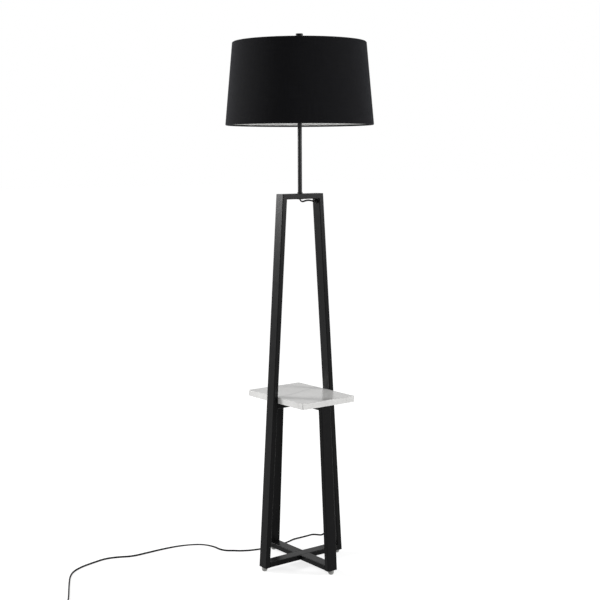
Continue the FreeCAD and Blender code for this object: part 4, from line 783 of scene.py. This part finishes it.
UPWARDS = np.array([0, 0, 1.0])
PLUG_NECK = 22 * MM
PLUG_LONG = 52 * MM
PLUG_HALF_WIDE = 12.5 * MM
PLUG_HALF_THICK = 7.4 * MM


def rounded_box(angle, half_wide, half_thick, squareness):
    """A superellipse: each way is a power of the cosine or sine, smaller powers being squarer."""
    x = half_wide * np.sign(np.cos(angle)) * np.abs(np.cos(angle)) ** squareness
    z = half_thick * np.sign(np.sin(angle)) * np.abs(np.sin(angle)) ** squareness
    return x, z


def make_plug():
    """The plug's moulding: a ribbed neck that grows into a squarer body, as a smooth step. The neck tapers,
    and its ribs are the low half of a sine, cut flat. The body has a waist, a bell curve in from its sides,
    and four grip grooves across each broad face, and its far end is rounded in as a quarter ellipse."""
    at = np.concatenate([np.linspace(0, PLUG_NECK, 45), np.linspace(PLUG_NECK, PLUG_LONG, 61)[1:]])
    grows_from = PLUG_NECK * 0.82
    grows_over = PLUG_NECK * 0.42
    share = np.clip((at - grows_from) / grows_over, 0, 1)
    grown = share**2 * (3 - 2 * share)
    taper = np.interp(at, [0, PLUG_NECK], [3.5 * MM, 6.4 * MM])
    rib_pitch = 3.1 * MM
    rib_depth = 0.55 * MM
    ribs_end = PLUG_NECK * 0.8
    wave = np.clip(np.sin(at / rib_pitch * 2 * np.pi) * 1.6, -1, 0)
    neck = taper + rib_depth * wave * (at < ribs_end)
    end_round = 2.6 * MM
    from_end = np.clip((PLUG_LONG - at) / end_round, 0, 1)
    shoulder = 1 - 0.16 * (1 - np.sqrt(np.clip(1 - (1 - from_end) ** 2, 0, 1)))
    waist_at = PLUG_NECK + 11 * MM
    waist_reach = 6.5 * MM
    waist = 1 - 0.10 * np.exp(-(((at - waist_at) / waist_reach) ** 2))
    half_wide = (neck * (1 - grown) + PLUG_HALF_WIDE * waist * grown) * shoulder
    half_thick = (neck * (1 - grown) + PLUG_HALF_THICK * grown) * shoulder
    squareness = 1.0 - 0.52 * grown
    angle = np.linspace(0, 2 * np.pi, 72, endpoint=False)
    x, z = rounded_box(angle[None], half_wide[:, None], half_thick[:, None], squareness[:, None])
    first_groove = PLUG_NECK + 6.5 * MM
    groove_apart = 3.4 * MM
    groove_depth = 0.7 * MM
    groove_half_wide = 0.75 * MM
    groove_reach = 9.0 * MM
    groove_fade = 1.5 * MM
    run_out = np.clip((groove_reach - np.abs(x)) / groove_fade, 0, 1)
    for groove in range(4):
        middle = first_groove + groove * groove_apart
        cut = groove_depth * np.exp(-(((at - middle) / groove_half_wide) ** 4))
        z = z - np.sign(z) * cut[:, None] * run_out
    y = np.broadcast_to(at[:, None], x.shape)
    way = unit(np.array([plug_way[0], plug_way[1], 0]))
    left = np.array([way[1], -way[0], 0])
    points = plug_foot + x[..., None] * left + y[..., None] * way + z[..., None] * UPWARDS
    plug = gridded(
        "plug_moulding", points, "lamp", "black_plastic", round_columns=True, capped=True, crease=40.0
    )
    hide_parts("plug_body")
    return plug, way, left


plug, plug_ahead, plug_left = make_plug()


def make_blades():
    """Two flat blades: an outline with a rounded tip, a round hole through it, and both faces a ring between
    the outline and the hole."""
    half_high = 3.175 * MM
    thick = 1.5 * MM
    reach = 16 * MM
    sunk = 8 * MM
    hole_radius = 1.6 * MM
    hole_from_tip = 4.2 * MM
    half_apart = 6.35 * MM
    corners = [(-sunk, -half_high), (reach, -half_high), (reach, half_high), (-sunk, half_high)]
    outer = eased(corners, np.array([0.2, 1.6, 1.6, 0.2]) * MM, steps=12)
    middle = np.array([reach - hole_from_tip, 0])
    order = np.arctan2(outer[:, 1] - middle[1], outer[:, 0] - middle[0])
    hole = middle + hole_radius * np.stack([np.cos(order), np.sin(order)], axis=1)
    rings = [(outer, -thick / 2), (outer, thick / 2), (hole, thick / 2), (hole, -thick / 2)]
    base = plug_foot + plug_ahead * PLUG_LONG
    pieces = []
    for name, side in (("plug_blade_left", -1), ("plug_blade_right", 1)):
        points = [
            base
            + flat[:, :1] * plug_ahead
            + flat[:, 1:] * UPWARDS
            + (side * half_apart + sideways) * plug_left
            for flat, sideways in rings
        ]
        blade = gridded(name, np.array(points), "lamp", "blade_metal", round_rows=True, round_columns=True)
        pieces.append(blade)
    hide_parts("plug_blades")
    return pieces


blades = make_blades()


# ---------------------------------------------------------------- shade
SHADE_LOW = 1310.8 * MM
SHADE_HIGH = 1547.6 * MM
LOW_RADIUS = 215.9 * MM
HIGH_RADIUS = 193.85 * MM
CLOTH = 0.8 * MM
HEM_FOLD = 6.1 * MM
HEM_BEND = (HEM_FOLD - CLOTH) / 2
HEM_FLAP = 4.3 * MM
# Points along the cloth's path.
FLAP_POINTS = 4
BEND_POINTS = 11
WALL_POINTS = 25
ARM_ANGLES = np.radians([90, 210, 330])
# A notch for a fitter arm: degrees from the arm to its edge, degrees over which the flap comes back, and the
# share of the top bend that is left in it.
NOTCH_HALF = 0.60
NOTCH_EDGE = 0.16
NOTCH_BEND = 0.62
# The cloth's seam: how far the lapped edge stands out, and the degrees over which it rises and drops.
SEAM_ANGLE = math.radians(58)
SEAM_RAISED = 0.45 * MM
SEAM_RISE = 2.4
SEAM_DROP = 0.08
# The lining: its thickness, how far its outer side lies in from the shade's, how far it stays from the rims,
# and the place, width and height of its own lap, with the first two in degrees.
LINING = 0.5 * MM
LINING_IN = 1.45 * MM
LINING_INSET = 3.4 * MM
LINING_SEAM = 239.1
LINING_LAP = 2.9
LINING_RAISED = 0.4 * MM


def wall_radius(height):
    """The shade's outer radius at a height: a straight taper."""
    share = (height - SHADE_LOW) / (SHADE_HIGH - SHADE_LOW)
    return LOW_RADIUS + (HIGH_RADIUS - LOW_RADIUS) * share


def turned_past(angles, other):
    """How far angles are past another angle, from half a turn before it to half a turn after it."""
    return (angles - other + np.pi) % (2 * np.pi) - np.pi


def about_post(radius, angles, height):
    """Points at a radius, an angle and a height about the post's axis."""
    x = radius * np.cos(angles)
    y = radius * np.sin(angles)
    return np.stack(np.broadcast_arrays(x, y, height), axis=2)


def cloth_path():
    """The middle of the cloth's thickness, as offset in from the wall and height: down the lower flap, round
    the bottom ring, up the wall, round the top ring and down the upper flap."""
    middle = HEM_FOLD / 2
    low = SHADE_LOW + middle
    high = SHADE_HIGH - middle
    half_turn = np.linspace(0, np.pi, BEND_POINTS + 2)[1:-1]
    inwards = HEM_BEND * np.cos(half_turn)
    beyond = HEM_BEND * np.sin(half_turn)
    flap = np.full(FLAP_POINTS, middle + HEM_BEND)
    parts = (
        (flap, np.linspace(SHADE_LOW + HEM_FLAP, low, FLAP_POINTS)),
        (middle + inwards, low - beyond),
        (np.full(WALL_POINTS, middle - HEM_BEND), np.linspace(low, high, WALL_POINTS)),
        (middle - inwards, high + beyond),
        (flap, np.linspace(high, SHADE_HIGH - HEM_FLAP, FLAP_POINTS)),
    )
    return np.concatenate([np.stack(part, axis=1) for part in parts])


def shade_angles():
    """Even columns round the shade, and close ones at the seam and at the notches for the fitter's arms."""
    even = np.arange(0, 360, 0.75)
    notch = np.array([0.25, 0.45, 0.60, 0.68, 0.76, 0.90])
    beside = np.concatenate([np.degrees(a) + sign * notch for a in ARM_ANGLES for sign in (-1, 1)])
    at_seam = np.array([-2.6, -2.0, -1.4, -0.8, -0.3, -0.05, 0.0, 0.04, 0.10, 0.4])
    seam = math.degrees(SEAM_ANGLE) + at_seam
    angles = np.unique(np.round(np.concatenate([even, beside, seam]) % 360, 4))
    clear = np.diff(angles, append=angles[0] + 360) > 0.02
    return np.radians(angles[clear])


def make_shade_cloth():
    """The cloth: its path is thickened both ways along its own normal and carried round the shade. Beside
    each fitter arm the path ends part of the way round the top bend. At the seam the wall stands out, rising
    as a square and then dropping, as one edge lapped over the other."""
    path = cloth_path()
    path_far = along_line(path)
    angles = shade_angles()
    top_start = path_far[-FLAP_POINTS - BEND_POINTS - 1]
    top_end = path_far[-1]
    notch_end = top_start + HEM_BEND * np.pi * NOTCH_BEND
    near_arm = np.degrees(np.min(np.abs(turned_past(angles[:, None], ARM_ANGLES)), axis=1))
    open_share = np.clip((near_arm - NOTCH_HALF) / NOTCH_EDGE, 0, 1)
    end = notch_end + (top_end - notch_end) * open_share
    beyond = np.clip((path_far - top_start) / (top_end - top_start), 0, 1)
    far = np.minimum(path_far, top_start)[:, None] + beyond[:, None] * (end - top_start)[None]
    offset = np.interp(far, path_far, path[:, 0])
    height = np.interp(far, path_far, path[:, 1])
    tangent = ways_along(path)
    normal_offset = np.interp(far, path_far, tangent[:, 1])
    normal_height = np.interp(far, path_far, -tangent[:, 0])
    lap = turned_past(angles, SEAM_ANGLE)
    arrive = np.clip(np.degrees(lap) / SEAM_RISE + 1, 0, 1) ** 2
    drop = np.clip(1 - np.degrees(lap) / SEAM_DROP, 0, 1)
    raised = SEAM_RAISED * np.where(lap < 0, arrive, drop)
    sides = []
    for side in (1, -1):
        moved = offset + side * CLOTH / 2 * normal_offset
        up = height + side * CLOTH / 2 * normal_height
        sides.append(np.stack([wall_radius(up) - moved, up], axis=2))
    around = np.concatenate([sides[0], sides[1][::-1]])
    radius = around[..., 0]
    up = around[..., 1]
    reach = radius + np.where(radius > wall_radius(up) - HEM_FOLD / 2, raised, 0)
    girth = np.append(angles, angles[0] + 2 * np.pi) * (LOW_RADIUS + HIGH_RADIUS) / 2
    lengthwise = np.concatenate([path_far, path_far[::-1] + THREAD / 2, [path_far[0]]])
    run = np.stack(np.meshgrid(lengthwise, girth, indexing="ij"), axis=2)[..., ::-1]
    cloth = gridded(
        "shade_cloth",
        about_post(reach, angles, up),
        "shade",
        "shade_fabric",
        round_rows=True,
        round_columns=True,
        run=run,
        crease=60.0,
    )
    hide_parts("shade_fabric")
    return cloth, float(top_end)


def make_shade_lining():
    """The lining: a thin cone inside the cloth, between the hems, that laps over itself at its own seam.
    There its inner side stands in, and comes back to the wall as a square."""
    seam = LINING_SEAM + np.array([-0.05, 0, 0.3, 2.8])
    angles = np.radians(np.unique(np.concatenate([np.arange(0, 360, 1.0), seam])))
    lap = np.degrees(angles) - LINING_SEAM
    lapped = (lap > 0) & (lap < LINING_LAP)
    raised = LINING_RAISED * np.where(lapped, 1 - np.clip(lap / LINING_LAP, 0, 1) ** 2, 0)
    height = np.linspace(SHADE_LOW + LINING_INSET, SHADE_HIGH - LINING_INSET, 16)
    outer = wall_radius(height)[:, None] - LINING_IN
    inner = outer - LINING - raised
    radius = np.concatenate([np.broadcast_to(outer, inner.shape), inner[::-1]])
    up = np.concatenate([height, height[::-1]])[:, None]
    points = about_post(radius, angles, up)
    lining = gridded(
        "shade_liner", points, "shade", "lining", round_rows=True, round_columns=True, crease=60.0
    )
    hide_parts("shade_lining")
    return lining, float(height[-1] - height[0])


def round_rod(name, start, end, radius, body, slot):
    """A straight rod from start to end. Its radius closes as a quarter circle at each end, to a tenth."""
    ends = radius * (1 - np.cos(np.linspace(0, np.pi / 2, 6)))
    around = np.linspace(0, 2 * np.pi, 20, endpoint=False)
    run = end - start
    length = np.linalg.norm(run)
    at = np.concatenate([ends, np.linspace(ends[-1], length - ends[-1], 24)[1:-1], length - ends[::-1]])
    from_end = np.minimum(at, length - at)
    wide = np.sqrt(np.clip(1 - np.clip(1 - from_end / radius, 0, 1) ** 2, 0.01, 1)) * radius
    ahead = run / length
    side = unit(np.cross(ahead, (0, 0, 1)))
    up = np.cross(side, ahead)
    circle = np.cos(around)[:, None] * side + np.sin(around)[:, None] * up
    points = start + at[:, None, None] * ahead + wide[:, None, None] * circle
    gridded(name, points, body, slot, round_columns=True, capped=True)


def make_fitter():
    """The fitter that carries the shade: a washer with eased rims on the harp's stud, and three straight rods
    from it out to the top ring."""
    bore = 3.3 * MM
    rim = 13.5 * MM
    low = 1540.4 * MM
    high = 1542.0 * MM
    outline = eased([(bore, low), (rim, low), (rim, high), (bore, high)], 0.4 * MM)
    washer = spun("fitter_washer", outline, "shade", "wire_white")
    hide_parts("shade_fitter")
    for number, angle in enumerate(ARM_ANGLES):
        out = np.array([math.cos(angle), math.sin(angle), 0])
        start = 11.9 * MM * out + [0, 0, 1541.2 * MM]
        end = 188.9 * MM * out + [0, 0, 1545.0 * MM]
        round_rod(f"fitter_rod_{number + 1}", start, end, 1.6 * MM, "shade", "wire_white")


shade_cloth, cloth_height = make_shade_cloth()
shade_liner, liner_height = make_shade_lining()
make_fitter()


# ---------------------------------------------------------------- floor and light
FLOOR_HALF = 40.0
FLOOR_CORNERS = ((-1, -1), (1, -1), (1, 1), (-1, 1))


def seen_white(tree):
    """1 for a ray from the camera, from gloss or through glass, and 0 for one that only lights the lamp."""
    path = node(tree, "LightPath")
    seen = calc(tree, "MAXIMUM", path.outputs["Is Camera Ray"], path.outputs["Is Glossy Ray"])
    return calc(tree, "MAXIMUM", seen, path.outputs["Is Transmission Ray"])


def matt_and_glowing(tree, grey, glow):
    """A matt grey surface that also gives off light."""
    matt = node(tree, "BsdfDiffuse", {"Color": (grey, grey, grey, 1)})
    light = node(tree, "Emission", {"Color": (1, 1, 1, 1), "Strength": glow})
    return node(tree, "AddShader", {0: matt.outputs[0], 1: light.outputs[0]}).outputs[0]


def make_floor():
    """A pale floor that the camera, and what shines, see as white apart from the lamp's own shadow. The glow
    that they see grows as a smooth step, from half a metre to three metres away from the lamp."""
    mesh = bpy.data.meshes.new("floor")
    corners = [(x * FLOOR_HALF, y * FLOOR_HALF, 0) for x, y in FLOOR_CORNERS]
    mesh.from_pydata(corners, [], [(0, 1, 2, 3)])
    floor = bpy.data.objects.new("floor", mesh)
    SCENE.collection.objects.link(floor)
    material = bpy.data.materials.new("pale_floor")
    material.use_nodes = True
    tree = material.node_tree
    tree.nodes.clear()
    away = node(tree, "VectorMath", {0: node(tree, "TexCoord").outputs["Object"]}, operation="LENGTH")
    glow = spread(tree, away.outputs["Value"], 0.78, 0.92, start=0.5, end=3.0, smooth=True)
    lighting = matt_and_glowing(tree, 0.85, 0.36)
    shown = matt_and_glowing(tree, 0.42, glow)
    mix = node(tree, "MixShader", {0: seen_white(tree), 1: lighting, 2: shown})
    node(tree, "OutputMaterial", {"Surface": mix.outputs[0]})
    mesh.materials.append(material)


def make_world():
    """Soft light from all round, which the camera, and what shines, see as white."""
    world = bpy.data.worlds.new("studio")
    world.use_nodes = True
    SCENE.world = world
    tree = world.node_tree
    tree.nodes.clear()
    strength = spread(tree, seen_white(tree), 0.22, 1.0)
    air = node(tree, "Background", {"Color": (1, 1, 1, 1), "Strength": strength})
    node(tree, "OutputWorld", {"Surface": air.outputs[0]})


def softbox(name, at, towards, wide, high, watts):
    """A soft rectangular lamp, turned to a point, that the camera doesn't see."""
    light = bpy.data.lights.new(name, "AREA")
    light.shape = "RECTANGLE"
    light.size = wide
    light.size_y = high
    light.energy = watts
    holder = bpy.data.objects.new(name, light)
    SCENE.collection.objects.link(holder)
    holder.location = at
    holder.rotation_euler = (Vector(towards) - Vector(at)).to_track_quat("-Z", "Y").to_euler()
    holder.visible_camera = False


make_floor()
make_world()
softbox("front_box", at=(-3.1, -1.9, 2.6), towards=(0, 0, 0.8), wide=1.8, high=1.8, watts=14)
softbox("rear_box", at=(-2.02, 2.53, 1.72), towards=(0, 0, 1.1), wide=0.95, high=0.9, watts=105)
softbox("right_box", at=(1.95, -2.65, 1.66), towards=(0, 0, 1.1), wide=0.95, high=0.9, watts=80)
